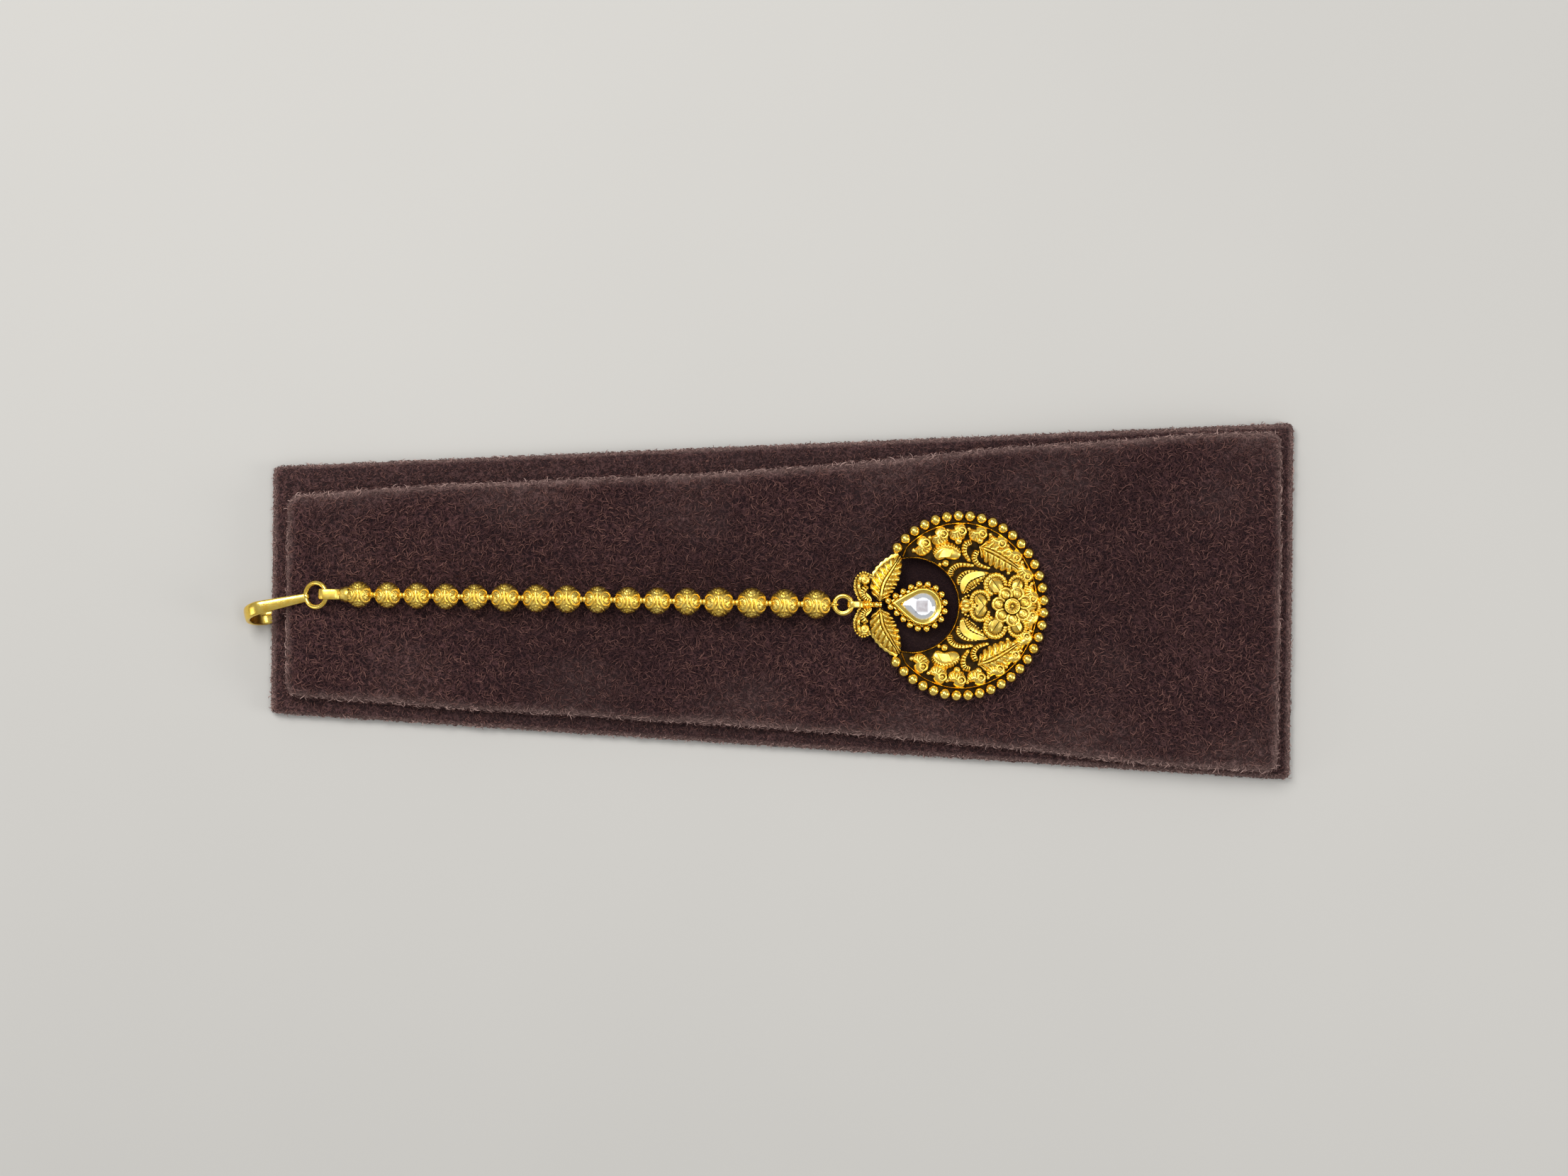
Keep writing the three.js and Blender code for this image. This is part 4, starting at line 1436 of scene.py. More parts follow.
@dataclass
class Motifs:
    """The stamped and soldered ornaments, in the pendant's own frame with the plate's back at 0."""

    floor: float = 0.42

    PAISLEY_WIDTHS = (
        # share from the tail, width
        (0, 0.14), (0.06, 0.34), (0.22, 0.74), (0.42, 1.04), (0.62, 1.12),
        (0.78, 1.02), (0.9, 0.74), (0.97, 0.4), (1, 0.1),
    )
    LEAF_WIDTHS = (
        # share from the stem, width
        (0, 0.2), (0.08, 0.6), (0.2, 0.9), (0.38, 1.0),
        (0.6, 0.94), (0.8, 0.68), (0.93, 0.36), (1, 0.08),
    )
    LEAF_HEIGHTS = ((0, 0.55), (0.1, 1), (0.85, 0.85), (1, 0.4))

    def strand(
        self, marks: Sequence[Sequence[float]], wide: float, narrow: float, ribs: int
    ) -> Form:
        """A ribbed crescent with one smooth edge, which thins towards its end.

        Args:
            marks: its middle line, from the thick end.
            wide: half its width at the start.
            narrow: half its width at the end.
            ribs: how many ribs it has.

        Returns:
            The strand.
        """
        steps = 7 * ribs + 1
        path = curve(marks, steps)
        share = np.linspace(0, 1, steps)
        half = (wide + (narrow - wide) * share**1.3) * (0.25 + 0.75 * rounded(steps, 4))
        notch = 1 - 0.08 * grooves(share * ribs, 0.2)
        left, right = edges_of(path, half * notch)

        def relief(s: np.ndarray, t: np.ndarray) -> np.ndarray:
            """A dome with ribs and a raised edge.

            Args:
                s: the share along.
                t: the place across, from -1 to 1.

            Returns:
                The height.
            """
            dome = np.sqrt(np.maximum(1 - 0.93 * t**2, 0))
            dome = dome * through(s, ((0, 0.6), (0.12, 1), (0.8, 0.85), (1, 0.4)))
            rib = grooves(s * ribs, 0.17) * np.clip((t + 0.55) * 4, 0, 1)
            ridge = 0.16 * np.exp(-(((t + 0.55) / 0.2) ** 2))
            return (1.0 + ridge) * dome - 0.34 * rib * dome

        return strip(left, right, relief, 15, self.floor)

    def paisley(self, head: np.ndarray, tail: np.ndarray, inward: np.ndarray, size: float) -> Form:
        """A fat comma with a ribbed belly, a ringed eye on its head and a curled tail.

        Args:
            head: the middle of its eye.
            tail: the end of its tail.
            inward: the direction that its belly bulges in.
            size: half its width at the head.

        Returns:
            The paisley.
        """
        steps = 50
        back = head + (head - tail) * 0.36
        waist = (tail + head) / 2 + inward * size * 0.42
        path = curve([tail, waist, head, back - inward * size * 0.1], steps)
        share = np.linspace(0, 1, steps)
        half = size * through(share, self.PAISLEY_WIDTHS)
        left, right = edges_of(path, half)
        side = np.sign(float(np.cross(path[28, :2] - path[22, :2], inward[:2]))) or 1.0

        def relief(s: np.ndarray, t: np.ndarray) -> np.ndarray:
            """A full dome with a ribbed belly and a spine.

            Args:
                s: the share along.
                t: the place across, from -1 to 1.

            Returns:
                The height.
            """
            dome = np.maximum(1 - 0.95 * t**2, 0) ** 0.38
            dome = dome * np.sin(math.pi * np.clip(s, 0.05, 0.93)) ** 0.3
            belly = np.clip((-t * side + 0.05) * 3, 0, 1)
            belly = belly * through(s, ((0.02, 0), (0.1, 1), (0.66, 1), (0.74, 0)))
            spine = 0.14 * np.exp(-(((t * side - 0.22) / 0.16) ** 2))
            return 1.12 * dome - 0.28 * grooves(s * 11, 0.2) * belly * dome + spine * dome

        body = strip(left, right, relief, 19, self.floor)
        top = self.floor + 1.10
        eye = ring((*head[:2], top), size * 0.46, size * 0.15, 24, 8)
        pupil = ball((*head[:2], top + 0.05), size * 0.23, 1, 12)
        return Form.joined([body, eye, pupil, ball((*tail[:2], self.floor + 0.4), size * 0.30)])

    def leaf(
        self,
        marks: Sequence[Sequence[float]],
        half: float,
        lobes: int,
        height: float,
        lean: float = 0.15,
    ) -> Form:
        """A leaf of rounded fingers on both sides of a raised midrib.

        Args:
            marks: its midrib, from stem to tip.
            half: half its greatest width.
            lobes: how many fingers each side has.
            height: its height at the middle.
            lean: how far its fingers sweep forward.

        Returns:
            The leaf.
        """
        steps = 14 * lobes + 1
        path = curve(marks, steps)
        share = np.linspace(0, 1, steps)
        outline = half * through(share, self.LEAF_WIDTHS)
        notch = 1 - 0.13 * grooves(lobes * (share - lean), 0.13)
        left, right = edges_of(path, outline * notch)

        def relief(s: np.ndarray, t: np.ndarray) -> np.ndarray:
            """Rounded fingers, and a gully on each side of the midrib.

            Args:
                s: the share along.
                t: the place across, from -1 to 1.

            Returns:
                The height.
            """
            phase = lobes * (s - lean * np.abs(t) ** 0.8)
            fingers = (0.5 + 0.5 * np.cos(TAU * (phase - 0.5))) ** 0.33
            dome = (1 - 0.55 * np.abs(t) ** 2.6) * through(s, self.LEAF_HEIGHTS)
            deep = 0.50 * (1 - fingers) * np.clip(np.abs(t) * 3.5 - 0.25, 0, 1)
            gully = 0.30 * np.exp(-(((np.abs(t) - 0.12) / 0.06) ** 2))
            return height * dome - deep - gully

        blade = strip(left, right, relief, 31, self.floor)
        path[:, 2] = self.floor + height * through(share, self.LEAF_HEIGHTS) - 0.02
        rib = rod(path, 0.19 * (1.3 - share), sides=8)
        return Form.joined([blade, rib])

    def facet_leaf(self, marks: Sequence[Sequence[float]], half: float, height: float) -> Form:
        """A leaf with one flat polished side and one beaded side.

        Args:
            marks: its middle line.
            half: half its greatest width.
            height: its height at the middle.

        Returns:
            The leaf.
        """
        steps = 64
        path = curve(marks, steps)
        share = np.linspace(0, 1, steps)
        outline = half * (np.sin(math.pi * share) ** 0.75 * 0.97 + 0.03)
        left, right = edges_of(path, outline)

        def relief(s: np.ndarray, t: np.ndarray) -> np.ndarray:
            """A sloping flat on one side of a groove and a row of beads on the other.

            Args:
                s: the share along.
                t: the place across, from -1 to 1.

            Returns:
                The height.
            """
            ends = through(s, ((0, 0.4), (0.1, 1), (0.9, 1), (1, 0.4)))
            flat = height * (1 + 0.12 * t)
            rows = height * 0.62 * np.sqrt(np.maximum(1 - t**2 * 0.9, 0))
            rows = rows - 0.2 * grooves(s * 11, 0.22) * (t > 0.08)
            groove = 0.35 * np.exp(-(((t - 0.04) / 0.06) ** 2))
            return np.where(t < 0, flat, rows) * ends - groove * ends

        dots = [ball((*at, self.floor + height * 0.5), 0.17, 1, 8) for at in right[8:-8:6]]
        return Form.joined([strip(left, right, relief, 25, self.floor), *dots])

    def facet_paisley(
        self, marks: Sequence[Sequence[float]], size: float, facet: Sequence[Sequence[float]]
    ) -> Form:
        """A large bean with a toothed upper edge and a flat polished facet.

        Args:
            marks: its middle line.
            size: half its width.
            facet: the corners of its polished face.

        Returns:
            The bean.
        """
        steps = 71
        path = curve(marks, steps)
        half = size * (0.12 + 0.88 * rounded(steps, 2.4))
        left, right = edges_of(path, half)

        def relief(s: np.ndarray, t: np.ndarray) -> np.ndarray:
            """A dome with teeth along one edge and a sunk rail beside them.

            Args:
                s: the share along.
                t: the place across, from -1 to 1.

            Returns:
                The height.
            """
            dome = np.sqrt(np.maximum(1 - 0.93 * t**2, 0))
            dome = dome * (0.35 + 0.65 * np.sin(math.pi * s) ** 0.4)
            teeth = grooves(s * 13, 0.2) * np.clip((-t - 0.42) * 6, 0, 1)
            rail = 0.22 * np.exp(-(((t + 0.40) / 0.08) ** 2))
            return 1.05 * dome - 0.34 * teeth - rail

        body = strip(left, right, relief, 27, self.floor)
        face = prism(np.array(facet), self.floor + 0.4, self.floor + 1.22, 0.12)
        return Form.joined([body, face])

    def cup_petal(self, centre: np.ndarray, facing: float, size: float) -> Form:
        """A cupped petal: a ribbed rim, open towards the flower, round two polished facets.

        Args:
            centre: its middle.
            facing: the direction away from the flower, in radians.
            size: its radius.

        Returns:
            The petal.
        """
        steps = 92
        angle = facing + np.linspace(-2.3, 2.3, steps)
        path = circle(angle) * size * 0.86
        path += np.array([centre[0], centre[1], self.floor + 0.5])
        share = np.linspace(0, 1, steps)
        ribs = (1 - 0.26 * grooves(share * 15, 0.2)) * (0.45 + 0.55 * rounded(steps, 4))
        rim = rod(path, size * 0.25 * ribs, 0.52 * ribs, sides=12)
        out = np.array([math.cos(facing), math.sin(facing)])
        side = np.array([-out[1], out[0]])
        facets = []
        for sign in (-1, 1):
            corners = [(-0.74, 0.015), (-0.50, 0.50), (0.22, 0.50), (0.56, 0.015)]
            flat = [centre[:2] + out * a * size + side * b * sign * size for a, b in corners]
            slope = -0.16 * side * sign - 0.10 * out
            facets.append(prism(np.array(flat), self.floor, self.floor + 0.9, 0.09, slope))
        return Form.joined([rim, *facets, ball((*centre[:2], self.floor), size * 0.86, 0.42, 26)])

    def rosette(self, centre: Sequence[float], lobes: int, reach: float) -> Form:
        """The flower's heart: curled lobes round a rayed disc with a ball on it.

        Args:
            centre: its middle.
            lobes: how many lobes it has.
            reach: its radius.

        Returns:
            The heart.
        """
        parts = []
        height = self.floor + 0.78
        for k in range(lobes):
            turn = TAU * (k + 0.35) / lobes
            out = np.array([math.cos(turn), math.sin(turn)])
            at = np.array(centre[:2]) + out * reach * 0.64
            parts.append(ball((*at, self.floor + 0.1), reach * 0.34, 0.84, 22))
            curl = turn + np.linspace(-2.7, 2.3, 44)
            spread = reach * (0.30 - 0.03 * np.linspace(0, 1, 44))
            line = np.stack([np.cos(curl) * spread, np.sin(curl) * spread, np.full(44, height)], -1)
            line[:, :2] += at
            line[:, 2] += 0.14 * rounded(44, 3)
            notch = 1 - 0.16 * grooves(np.linspace(0, 8, 44), 0.22)
            parts.append(rod(line, 0.26 * (0.4 + 0.6 * rounded(44, 4)) * notch, sides=10))
            inner = turn + 0.5 + np.linspace(-2.4, 2.0, 24)
            arc = circle(inner) * reach * 0.135
            arc += np.array([*(at - out * 0.12), height + 0.30])
            parts.append(rod(arc, 0.15 * (0.4 + 0.6 * rounded(24, 4)), sides=8))
        disc_radius = reach * 0.33

        def rays(radius: np.ndarray, angle: np.ndarray) -> np.ndarray:
            """The raised rays of the disc."""
            share = np.clip(radius / disc_radius, 0, 1)
            return 0.11 * np.cos(14 * angle) * np.sin(share * math.pi)

        profile = [(0, -0.6), (disc_radius, -0.6), (reach * 0.35, 0.42), (reach * 0.31, 0.50)]
        profile += [(disc_radius * s, 0.55 + 0.12 * (1 - s)) for s in (0.85, 0.7, 0.55, 0.4, 0.25)]
        profile.append((0, 0.68))
        disc = turned(profile, 96, rays).moved(Matrix.Translation(Vector((*centre[:2], height))))
        knob = ball((*centre[:2], height + 0.66), 0.27, 0.8, 16)
        collar = ring((*centre[:2], height + 0.46), reach * 0.345, 0.11, 48, 8)
        return Form.joined([*parts, disc, knob, collar])

    def bud(self, centre: Sequence[float]) -> Form:
        """A bud of two glossy petals in a beaded cup.

        Args:
            centre: its middle.

        Returns:
            The bud.
        """
        u, v = centre
        parts = [ball((u + 0.2, v, self.floor), 1.25, 0.4, 20)]
        for sign in (-1, 1):
            marks = [(u - 0.7, v + sign * 0.2), (u, v + sign * 0.75), (u + 1.15, v + sign * 0.3)]
            parts.append(self.smooth_petal(marks, 0.5, 0.95))
            cup = ((-0.4, 1.15), (0.05, 1.5), (0.55, 1.7), (1.1, 1.62), (1.55, 1.35))
            for k, (a, b) in enumerate(cup):
                parts.append(ball((u + a, v + sign * b, self.floor + 0.4), 0.27 - 0.015 * k, 1, 10))
        return Form.joined(parts)

    def smooth_petal(self, marks: Sequence[Sequence[float]], half: float, height: float) -> Form:
        """A plain polished petal.

        Args:
            marks: its middle line.
            half: half its greatest width.
            height: its height.

        Returns:
            The petal.
        """
        steps = 25
        path = curve(marks, steps)
        path[:, 2] = self.floor + height * 0.4
        swell = half * (0.15 + 0.85 * rounded(steps, 2.2))
        return rod(path, swell, swell * height / half * 0.8, sides=16)


def prism(
    outline: np.ndarray, low: float, top: float, bevel: float, slope: Sequence[float] = (0.0, 0.0)
) -> Form:
    """A flat-topped form with a narrow bevel.

    Args:
        outline: its corners, seen from above.
        low: the height of its base.
        top: the height of its face.
        bevel: the width and depth of the bevel round its face.
        slope: how much its face rises for each millimetre along and across.

    Returns:
        The closed form.
    """
    count = len(outline)
    middle = outline.mean(0)
    inwards = middle - outline
    inner = outline + inwards * (bevel / np.linalg.norm(inwards, axis=1))[:, None]
    rings = [(outline, low), (outline, top - bevel), (inner, top)]
    points = np.concatenate([np.column_stack([flat, np.full(count, z)]) for flat, z in rings])
    points[count:, 2] += (points[count:, :2] - middle) @ np.array(slope)
    ends = np.array([(*middle, low), (*middle, top)])
    caps = [cap(3 * count, 0, count, False), cap(3 * count + 1, 2 * count, count, True)]
    quads = grid_faces(3, count, False, True)
    return Form(np.concatenate([points, ends]), quads, np.concatenate(caps)).outward()


@dataclass
class Pendant:
    """The crescent of soldered ornaments, the pair of leaves and scrolls above it, and the bail."""

    tilt: float = 3.0
    # Half the rim's length along and across.
    rim: tuple[float, float] = (14.12, 15.17)
    rim_beads: int = 36
    rim_bead: float = 0.91
    rim_from: float = 140.6
    # Where along the pendant the round opening's middle is, and its radius.
    opening: tuple[float, float] = (-8.3, 8.0)
    paisleys: int = 8
    paisley_from: float = 122.7
    paisley_step: float = 16.7
    paisley_span: float = 11.4
    paisley_size: float = 1.34
    disc_length: float = 15.56
    lowest_reach: float = 14.5
    motifs: Motifs = field(default_factory=Motifs)
    band: BandLoop = field(default_factory=lambda: BandLoop(3.0, 2.1, 0.35, 0.55, 12, 14, 0.5))

    strands: tuple[tuple[float, float, int, tuple[tuple[float, float], ...]], ...] = (
        # half width at the start, half width at the end, ribs, middle line
        (0.72, 0.42, 9, ((1.75, 10.75), (0.7, 10.3), (0.55, 8.9), (1.5, 7.4))),
        (0.72, 0.36, 10, ((2.75, 9.4), (2.2, 8.1), (3.0, 6.9), (4.9, 6.3))),
        (0.76, 0.36, 11, ((-1.9, 4.9), (-1.6, 6.1), (-0.2, 6.85), (2.2, 6.75))),
        (0.70, 0.32, 10, ((-0.15, 3.4), (-0.25, 4.6), (0.85, 5.55), (2.9, 5.8))),
    )
    balls: tuple[tuple[float, float, float], ...] = (
        # place along, place across, radius
        (-0.55, 10.9, 0.62),
        (3.1, 11.0, 0.62),
        (-2.7, 7.1, 0.60),
        (10.8, 5.5, 0.55),
        (11.8, 2.4, 0.52),
        (5.5, 5.2, 0.34),
        (4.95, 5.3, 0.24),
        (2.55, 2.35, 0.30),
        (-3.6, 6.9, 0.34),
        (8.0, 5.6, 0.36),
    )

    def seat(self) -> Matrix:
        """The pendant's own frame within the whole, from the frame's node."""
        low, high = node_box("pendant")
        lean = math.radians(self.tilt)
        rise = self.lowest_reach * math.sin(lean)
        origin = Vector((high[0] - self.disc_length, (low[1] + high[1]) / 2, low[2] + rise))
        return Matrix.Translation(origin) @ Matrix.Rotation(lean, 4, "Y")

    def on_rim(self, degrees: float, share: float) -> np.ndarray:
        """A point at an angle, where a share of 1 is the bead rim."""
        angle = math.radians(degrees)
        along, across = self.rim[0] * share, self.rim[1] * share
        return np.array([along * math.cos(angle), across * math.sin(angle), 0.0])

    def plate(self) -> Form:
        """The thin near-black back plate between the rim and the opening: painted shade behind the
        motifs.
        """
        steps = 121
        outer = np.array([self.on_rim(a, 0.985) for a in np.linspace(-141, 141, steps)])
        mouth = np.radians(np.linspace(-101, 101, steps))
        inner = circle(mouth)[:, :2] * self.opening[1] + (self.opening[0], 0.0)
        return strip(outer[:, :2], inner, level(0.45), 6, 0.05)

    def wires(self) -> Form:
        """The knife-edge wires inside the bead rim, round the opening and at the horns."""
        top = self.motifs.floor + 0.75
        outer = np.array([self.on_rim(a, 0.918) for a in np.linspace(-136, 136, 181)])
        outer = np.concatenate([[(-9.9, -8.15, 0)], outer, [(-9.9, 8.15, 0)]])
        mouth = np.radians(np.linspace(-103, 103, 121))
        inner = circle(mouth) * self.opening[1] + np.array([self.opening[0], 0, 0])
        half_height = 0.55
        lines = [path + UP * (top - half_height) for path in (outer, inner)]
        return Form.joined([rod(line, 0.15, half_height, sides=10) for line in lines])

    def beads(self) -> Form:
        """The rim of soldered balls, each with a small polished crown."""
        angles = np.linspace(-self.rim_from, self.rim_from, self.rim_beads)
        places = [self.on_rim(angle, 1.0) + UP * self.rim_bead for angle in angles]
        return Form.joined([ball(place, self.rim_bead, 1, 26) for place in places])

    def rim_paisleys(self) -> Form:
        """The row of paisleys that follows the rim on both sides."""
        rng = np.random.default_rng(3)
        parts = []
        for sign in (1, -1):
            for k in range(self.paisleys):
                at = self.paisley_from - self.paisley_step * k + rng.uniform(-1, 1)
                share = 0.815 + 0.05 * k / (self.paisleys - 1)
                head = self.on_rim(sign * at, share)
                tail = self.on_rim(sign * (at + self.paisley_span), share + 0.02)
                size = self.paisley_size - 0.025 * k
                parts.append(self.motifs.paisley(head, tail, -unit(head), size))
        return Form.joined(parts)

    def half(self) -> Form:
        """The motifs of one half, in front of the opening."""
        m = self.motifs
        made = [m.strand(marks, wide, narrow, ribs) for wide, narrow, ribs, marks in self.strands]
        made += [ball((u, v, m.floor + r * 0.8), r, 1, 18) for u, v, r in self.balls]
        made.append(m.leaf([(3.1, 9.9), (5.6, 8.9), (8.0, 7.5), (10.3, 5.9)], 2.25, 7, 1.5))
        made.append(m.facet_leaf([(0.25, 1.9), (1.45, 4.1), (4.75, 5.5)], 1.25, 1.05))
        facet = [(-4.05, 8.0), (-3.25, 9.45), (-1.35, 9.5), (-1.95, 8.15)]
        made.append(m.facet_paisley([(-4.6, 8.2), (-2.7, 9.3), (-0.1, 8.5)], 1.5, facet))
        made.append(m.cup_petal(np.array([5.85, 3.55]), math.radians(124), 1.95))
        made.append(m.cup_petal(np.array([9.6, 3.6]), math.radians(62), 1.65))
        return Form.joined(made)

    def middle(self) -> Form:
        """The flower and the bud on the middle line."""
        m = self.motifs
        parts = [
            m.rosette((8.65, 0.0), 7, 3.55),
            m.cup_petal(np.array([3.25, 0.95]), math.radians(125), 1.7),
            m.cup_petal(np.array([3.25, -0.95]), math.radians(-125), 1.7),
            m.cup_petal(np.array([12.0, 0.0]), 0.0, 1.5),
            m.bud((0.75, 0.0)),
        ]
        return Form.joined(parts)

    def top_half(self) -> Form:
        """One leaf and one scroll above the opening."""
        m = self.motifs
        midrib = [(-13.7, 0.75), (-13.2, 3.4), (-11.9, 5.7), (-10.3, 8.2)]
        leaf = m.leaf(midrib, 2.15, 8, 1.25, 0.17)
        edge = curve([(-14.1, 1.4), (-14.85, 4.4), (-13.3, 6.8), (-10.7, 8.6)], 40)
        edge[:, 2] = 0.2
        wave = 0.40 + 0.09 * np.cos(np.linspace(0, 9 * TAU, 40))
        back = rod(edge, wave, 0.2, sides=8)
        head = np.array([-16.25, 4.15])
        scroll = m.strand([(-15.9, 3.2), (-16.7, 2.1), (-16.3, 1.1), (-15.2, 0.55)], 0.78, 0.42, 9)
        along_neck = [(-15.6, 4.7), (-16.8, 4.85), (-17.3, 3.6), (-17.2, 2.3), (-16.6, 1.0)]
        neck = m.strand(along_neck, 0.5, 0.3, 4)
        eye = ring((*head, m.floor + 0.95), 0.48, 0.19, 26, 8)
        bulb = ball((*head, m.floor + 0.45), 0.85, 0.8, 18)
        round_scroll = [(-15.3, 5.0), (-16.6, 5.45), (-17.75, 4.5), (-17.95, 2.9), (-17.45, 1.2)]
        outer = curve([*round_scroll, (-16.9, 0.6)], 60)
        dots = [ball((*at[:2], m.floor + 0.35), 0.22, 1, 10) for at in outer[::4]]
        behind = curve([(-15.3, 4.9), (-17.0, 4.2), (-17.1, 2.2), (-15.2, 0.5)], 24)
        sides = edges_of(behind, 0.85 * (0.3 + 0.7 * rounded(24)))
        backing = strip(*sides, level(0.35), 6, 0.05)
        pupil = ball((*head, m.floor + 1.0), 0.24)
        return Form.joined([leaf, back, scroll, neck, eye, bulb, pupil, *dots, backing])

    def bail(self) -> Form:
        """The flat band bail and the short bar that joins it to the leaves."""
        start = node_box("pendant")[0][0] - self.seat().translation.x + 0.03
        band = self.band.form((start + self.band.length / 2, 0.0, self.band.height / 2))
        spine = curve([(start + self.band.length - 0.2, 0), (-15.2, 0), (-13.4, 0)], 16)
        spine[:, 2] = 0.5
        knobs = ((-16.3, 0.42), (-15.2, 0.5), (-14.2, 0.55))
        knot = [ball((u, 0, 0.75), radius, 1, 14) for u, radius in knobs]
        return Form.joined([band, rod(spine, 0.5, 0.35, sides=12), *knot])

    def build(self, finishes: dict[Gold, bpy.types.Material]) -> None:
        """Makes the pendant's pieces, of which the plate stands for the frame's node.

        Args:
            finishes: the material of each way that the gold is finished.
        """
        seat = self.seat()
        half, top = self.half(), self.top_half()
        plate = self.plate().moved(seat)
        plate.piece("pendant_plate", finishes[Gold.PAINTED_SHADE], Slot.GOLD, ("pendant",))
        rows = (
            ("pendant_wires", self.wires(), Gold.POLISHED),
            ("pendant_bead_rim", self.beads(), Gold.POLISHED),
            ("pendant_paisleys", self.rim_paisleys(), Gold.STAMPED),
            ("pendant_sprays", Form.joined([half, half.mirrored()]), Gold.STAMPED),
            ("pendant_flower", self.middle(), Gold.STAMPED),
            ("pendant_leaves", Form.joined([top, top.mirrored()]), Gold.STAMPED),
            ("pendant_bail", self.bail(), Gold.POLISHED),
        )
        for name, form, look in rows:
            form.moved(seat).piece(name, finishes[look], Slot.GOLD)


@dataclass
class Drop:
    """The pear-shaped setting, its border of balls and its faceted stone."""

    centre: tuple[float, float] = (-6.45, -0.2)
    turn: float = -6.0
    radius: float = 3.16
    tip: float = 5.35
    wall: float = 0.87
    balls: int = 18
    ball: float = 0.6
    ball_offset: float = 0.66
    stone_sides: int = 16
    stone_heights: tuple[float, float, float] = (0.55, 1.30, 1.70)
    crown_width: float = 0.78
    tip_inset: float = 1.9

    def pear(self, grow: float, tip_grow: float, steps: int) -> np.ndarray:
        """A pear outline with its round end at the origin and its point at -X.

        Args:
            grow: how far the round end lies outside the setting's edge.
            tip_grow: how far the point lies outside the setting's point.
            steps: how many points it has, evenly spaced.

        Returns:
            The outline, in two dimensions.
        """
        radius, tip = self.radius + grow, self.tip + tip_grow
        turn = math.radians(118)
        arc = np.linspace(-turn, turn, 121)
        round_end = np.stack([radius * np.cos(arc), radius * np.sin(arc)], -1)
        t = np.linspace(0, 1, 61)[1:, None]
        start, control = round_end[-1], np.array([-tip * 0.62, radius * 0.52])
        point = np.array([-tip, 0.0])
        upper = (1 - t) ** 2 * start + 2 * t * (1 - t) * control + t**2 * point
        line = np.concatenate([round_end, upper, (upper * (1, -1))[::-1][1:]])
        gaps = np.linalg.norm(np.diff(np.concatenate([line, line[:1]]), axis=0), axis=1)
        along = np.concatenate([[0], np.cumsum(gaps)])
        whole = np.concatenate([line, line[:1]])
        at = np.linspace(0, along[-1], steps, endpoint=False)
        return np.stack([np.interp(at, along, whole[:, k]) for k in range(2)], -1)

    def setting(self) -> Form:
        """The bezel with its moulded edge, the base under it and the border of balls."""
        outline = self.pear(0, 0, 110)
        wall = self.wall
        profile = [(0.0, 0.3), (0.05, 1.25), (-0.02, 1.55), (-0.14, 1.74), (-0.26, 1.80)]
        profile += [(-0.38, 1.76), (-wall * 0.75, 1.62), (-wall * 0.97, 1.54), (-wall * 1.06, 1.4)]
        profile += [(-wall, 0.5), (-wall, 0.3)]
        bezel = border(outline, profile)
        base = self.pear(self.ball_offset - 0.3, 0.45, 60)
        floor = prism(base, 0.02, 0.38, 0.06)
        track = self.pear(self.ball_offset, 0.85, self.balls)
        balls = [ball((*at, self.ball), self.ball, 1, 20) for at in track]
        return Form.joined([bezel, floor, *balls])

    def stone(self) -> Form:
        """The stone: a girdle, a row of crown facets and a broad table."""
        count = self.stone_sides
        bottom, shoulder, top = self.stone_heights
        girdle_inset = self.wall + 0.02
        table_inset = girdle_inset + self.crown_width
        girdle = self.pear(-girdle_inset, -self.tip_inset * girdle_inset, count)
        table = self.pear(-table_inset, -self.tip_inset * table_inset, count)
        rings = [(girdle, bottom), (girdle, shoulder), (table, top)]
        points = np.concatenate([np.column_stack([flat, np.full(count, z)]) for flat, z in rings])
        middle = table.mean(0)
        ends = np.array([(*middle, bottom), (*middle, top)])
        j = np.arange(count)
        k = (j + 1) % count
        caps = [cap(3 * count, 0, count, False), cap(3 * count + 1, 2 * count, count, True)]
        walls = np.stack([j, k, count + k, count + j], -1)
        even = j[::2]
        nxt, far = (even + 1) % count, (even + 2) % count
        crown = [
            np.stack([count + even, count + nxt, 2 * count + even], -1),
            np.stack([count + nxt, 2 * count + nxt, 2 * count + even], -1),
            np.stack([count + nxt, 2 * count + far, 2 * count + nxt], -1),
            np.stack([count + nxt, count + far, 2 * count + far], -1),
        ]
        tris = np.concatenate([*caps, *crown])
        return Form(np.concatenate([points, ends]), walls, tris).outward()

    def build(self, seat: Matrix, gold: bpy.types.Material) -> None:
        """Makes the setting and the stone in the pendant's frame.

        Args:
            seat: the pendant's own frame.
            gold: the setting's finish.
        """
        turn = Matrix.Rotation(math.radians(self.turn), 4, "Z")
        place = seat @ Matrix.Translation(Vector((*self.centre, 0))) @ turn
        self.setting().moved(place).piece("drop_bezel", gold, Slot.GOLD, ("drop_setting",))
        low, high = node_box("drop_stone")
        # The middle of the stone's painted reflection.
        heart = (low + high) / 2 + np.array([0.2, 0.0, 0.0])
        finish = CrystalFinish(tuple(heart * MM)).material()
        stone = self.stone().moved(place)
        stone.piece("drop_gem", finish, Slot.CRYSTAL, ("drop_stone",), sharp=5.0)


# ---- The studio ----


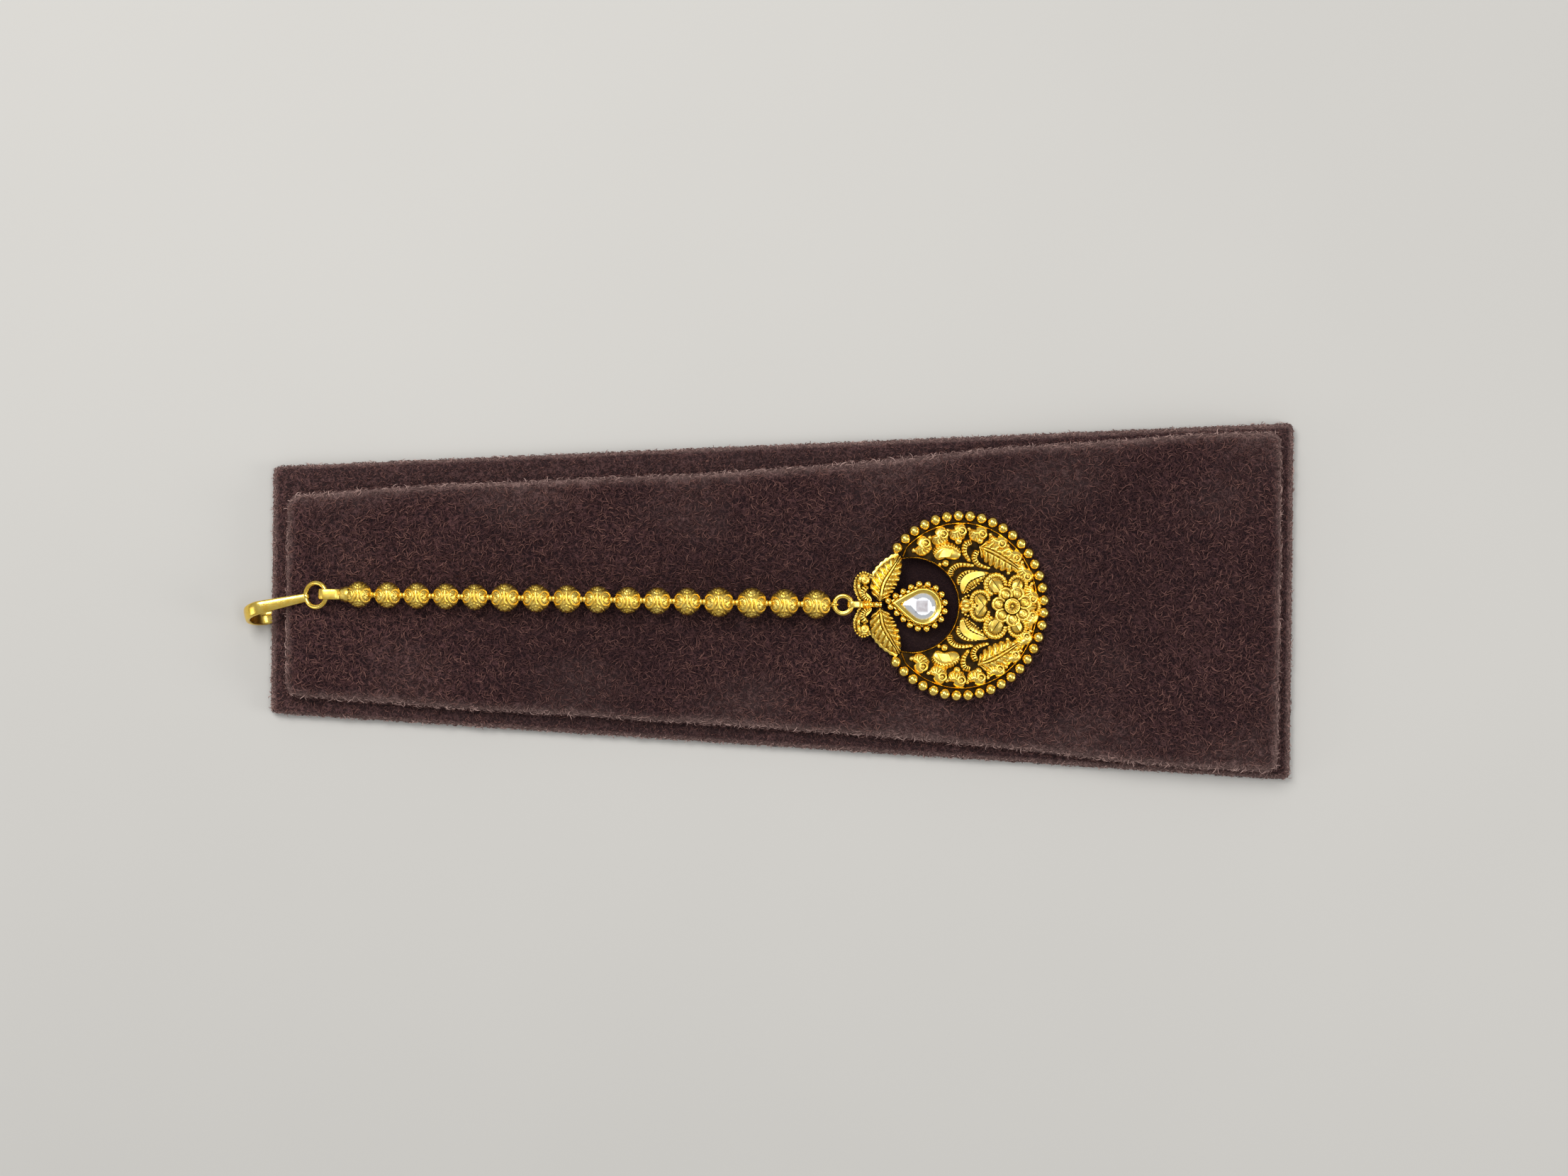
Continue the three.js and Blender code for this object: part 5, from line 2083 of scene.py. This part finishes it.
@dataclass
class Studio:
    """A pale floor, soft lights and a camera straight above."""

    frame_width: float = 265.44
    lens: float = 75.0
    sensor: float = 36.0
    middle: tuple[float, float] = (2.6, 1.3)
    roll: float = 0.66
    surround: tuple[float, float, float] = (0.95, 0.97, 1.0)
    surround_strength: float = 0.42
    floor_reach: float = 1.5
    lamps: tuple[tuple[str, tuple[float, float, float], float, float, float], ...] = (
        # name, place in metres, width, depth, power
        ("key", (-0.20, 0.26, 0.52), 0.30, 0.26, 2.6),
        ("top", (0.16, 0.02, 0.62), 0.40, 0.16, 0.9),
        ("right", (0.52, -0.10, 0.26), 0.24, 0.24, 1.0),
        ("left", (-0.50, -0.16, 0.20), 0.20, 0.20, 0.25),
    )

    def camera(self) -> None:
        """Hangs the camera over the pad."""
        data = bpy.data.cameras.new("camera")
        data.lens, data.sensor_width = self.lens, self.sensor
        made = bpy.data.objects.new("camera", data)
        top = node_box("display_cushion")[1][2]
        distance = self.frame_width * self.lens / self.sensor + top
        made.location = Vector((*self.middle, distance)) * MM
        made.rotation_euler = Euler((0, 0, math.radians(self.roll)))
        bpy.context.scene.collection.objects.link(made)
        bpy.context.scene.camera = made

    def lights(self) -> None:
        """Places the soft lights and the dim surround."""
        for name, place, width, depth, power in self.lamps:
            data = bpy.data.lights.new(name, "AREA")
            data.shape, data.size, data.size_y, data.energy = "RECTANGLE", width, depth, power
            lamp = bpy.data.objects.new(name, data)
            lamp.location = place
            lamp.rotation_euler = Vector(place).to_track_quat("Z", "Y").to_euler()
            bpy.context.scene.collection.objects.link(lamp)
        world = bpy.data.worlds.new("surround")
        world.use_nodes = True
        sky = world.node_tree.nodes["Background"]
        sky.inputs[0].default_value = (*self.surround, 1.0)
        sky.inputs[1].default_value = self.surround_strength
        bpy.context.scene.world = world
        bpy.context.scene.view_settings.view_transform = "Standard"

    def floor(self) -> None:
        """Lays the floor under the pad."""
        mesh = bpy.data.meshes.new("floor")
        reach = self.floor_reach
        corners = [(-reach, -reach, 0), (reach, -reach, 0), (reach, reach, 0), (-reach, reach, 0)]
        mesh.from_pydata(corners, [], [(0, 1, 2, 3)])
        mesh.materials.append(FloorFinish().material())
        made = bpy.data.objects.new("floor", mesh)
        bpy.context.scene.collection.objects.link(made)

    def build(self) -> None:
        """Sets up the camera, the lights and the floor."""
        self.camera()
        self.lights()
        self.floor()


def gold_finishes() -> dict[Gold, bpy.types.Material]:
    """The material of each way that the gold is finished."""
    struck = GoldFinish("struck_gold", reach=0.45 * MM, open_share=(0.38, 0.86), roughness=0.27)
    # The back plate's near-black colour is painted shade behind the motifs.
    dark = GoldFinish(
        "painted_shade_gold",
        bright=(0.035, 0.020, 0.007),
        warm=(0.012, 0.008, 0.004),
        recess_shade=(0.004, 0.003, 0.002),
        roughness=0.5,
    )
    looks = {
        Gold.POLISHED: GoldFinish("polished_gold", reach=0.3 * MM, roughness=0.16),
        Gold.STAMPED: GoldFinish("stamped_gold"),
        Gold.STRUCK: struck,
        Gold.PAINTED_SHADE: dark,
    }
    return {look: finish.material() for look, finish in looks.items()}


def main() -> None:
    """Builds every sub-assembly in order."""
    logging.basicConfig(level=logging.INFO, format="%(name)s %(message)s")
    finishes = gold_finishes()
    Studio().build()
    DisplayPad().build()
    Hook().build(finishes[Gold.POLISHED])
    Chain().build(finishes[Gold.STRUCK])
    EndRing().build(finishes[Gold.POLISHED])
    pendant = Pendant()
    pendant.build(finishes)
    Drop().build(pendant.seat(), finishes[Gold.POLISHED])


if __name__ == "__main__":
    main()
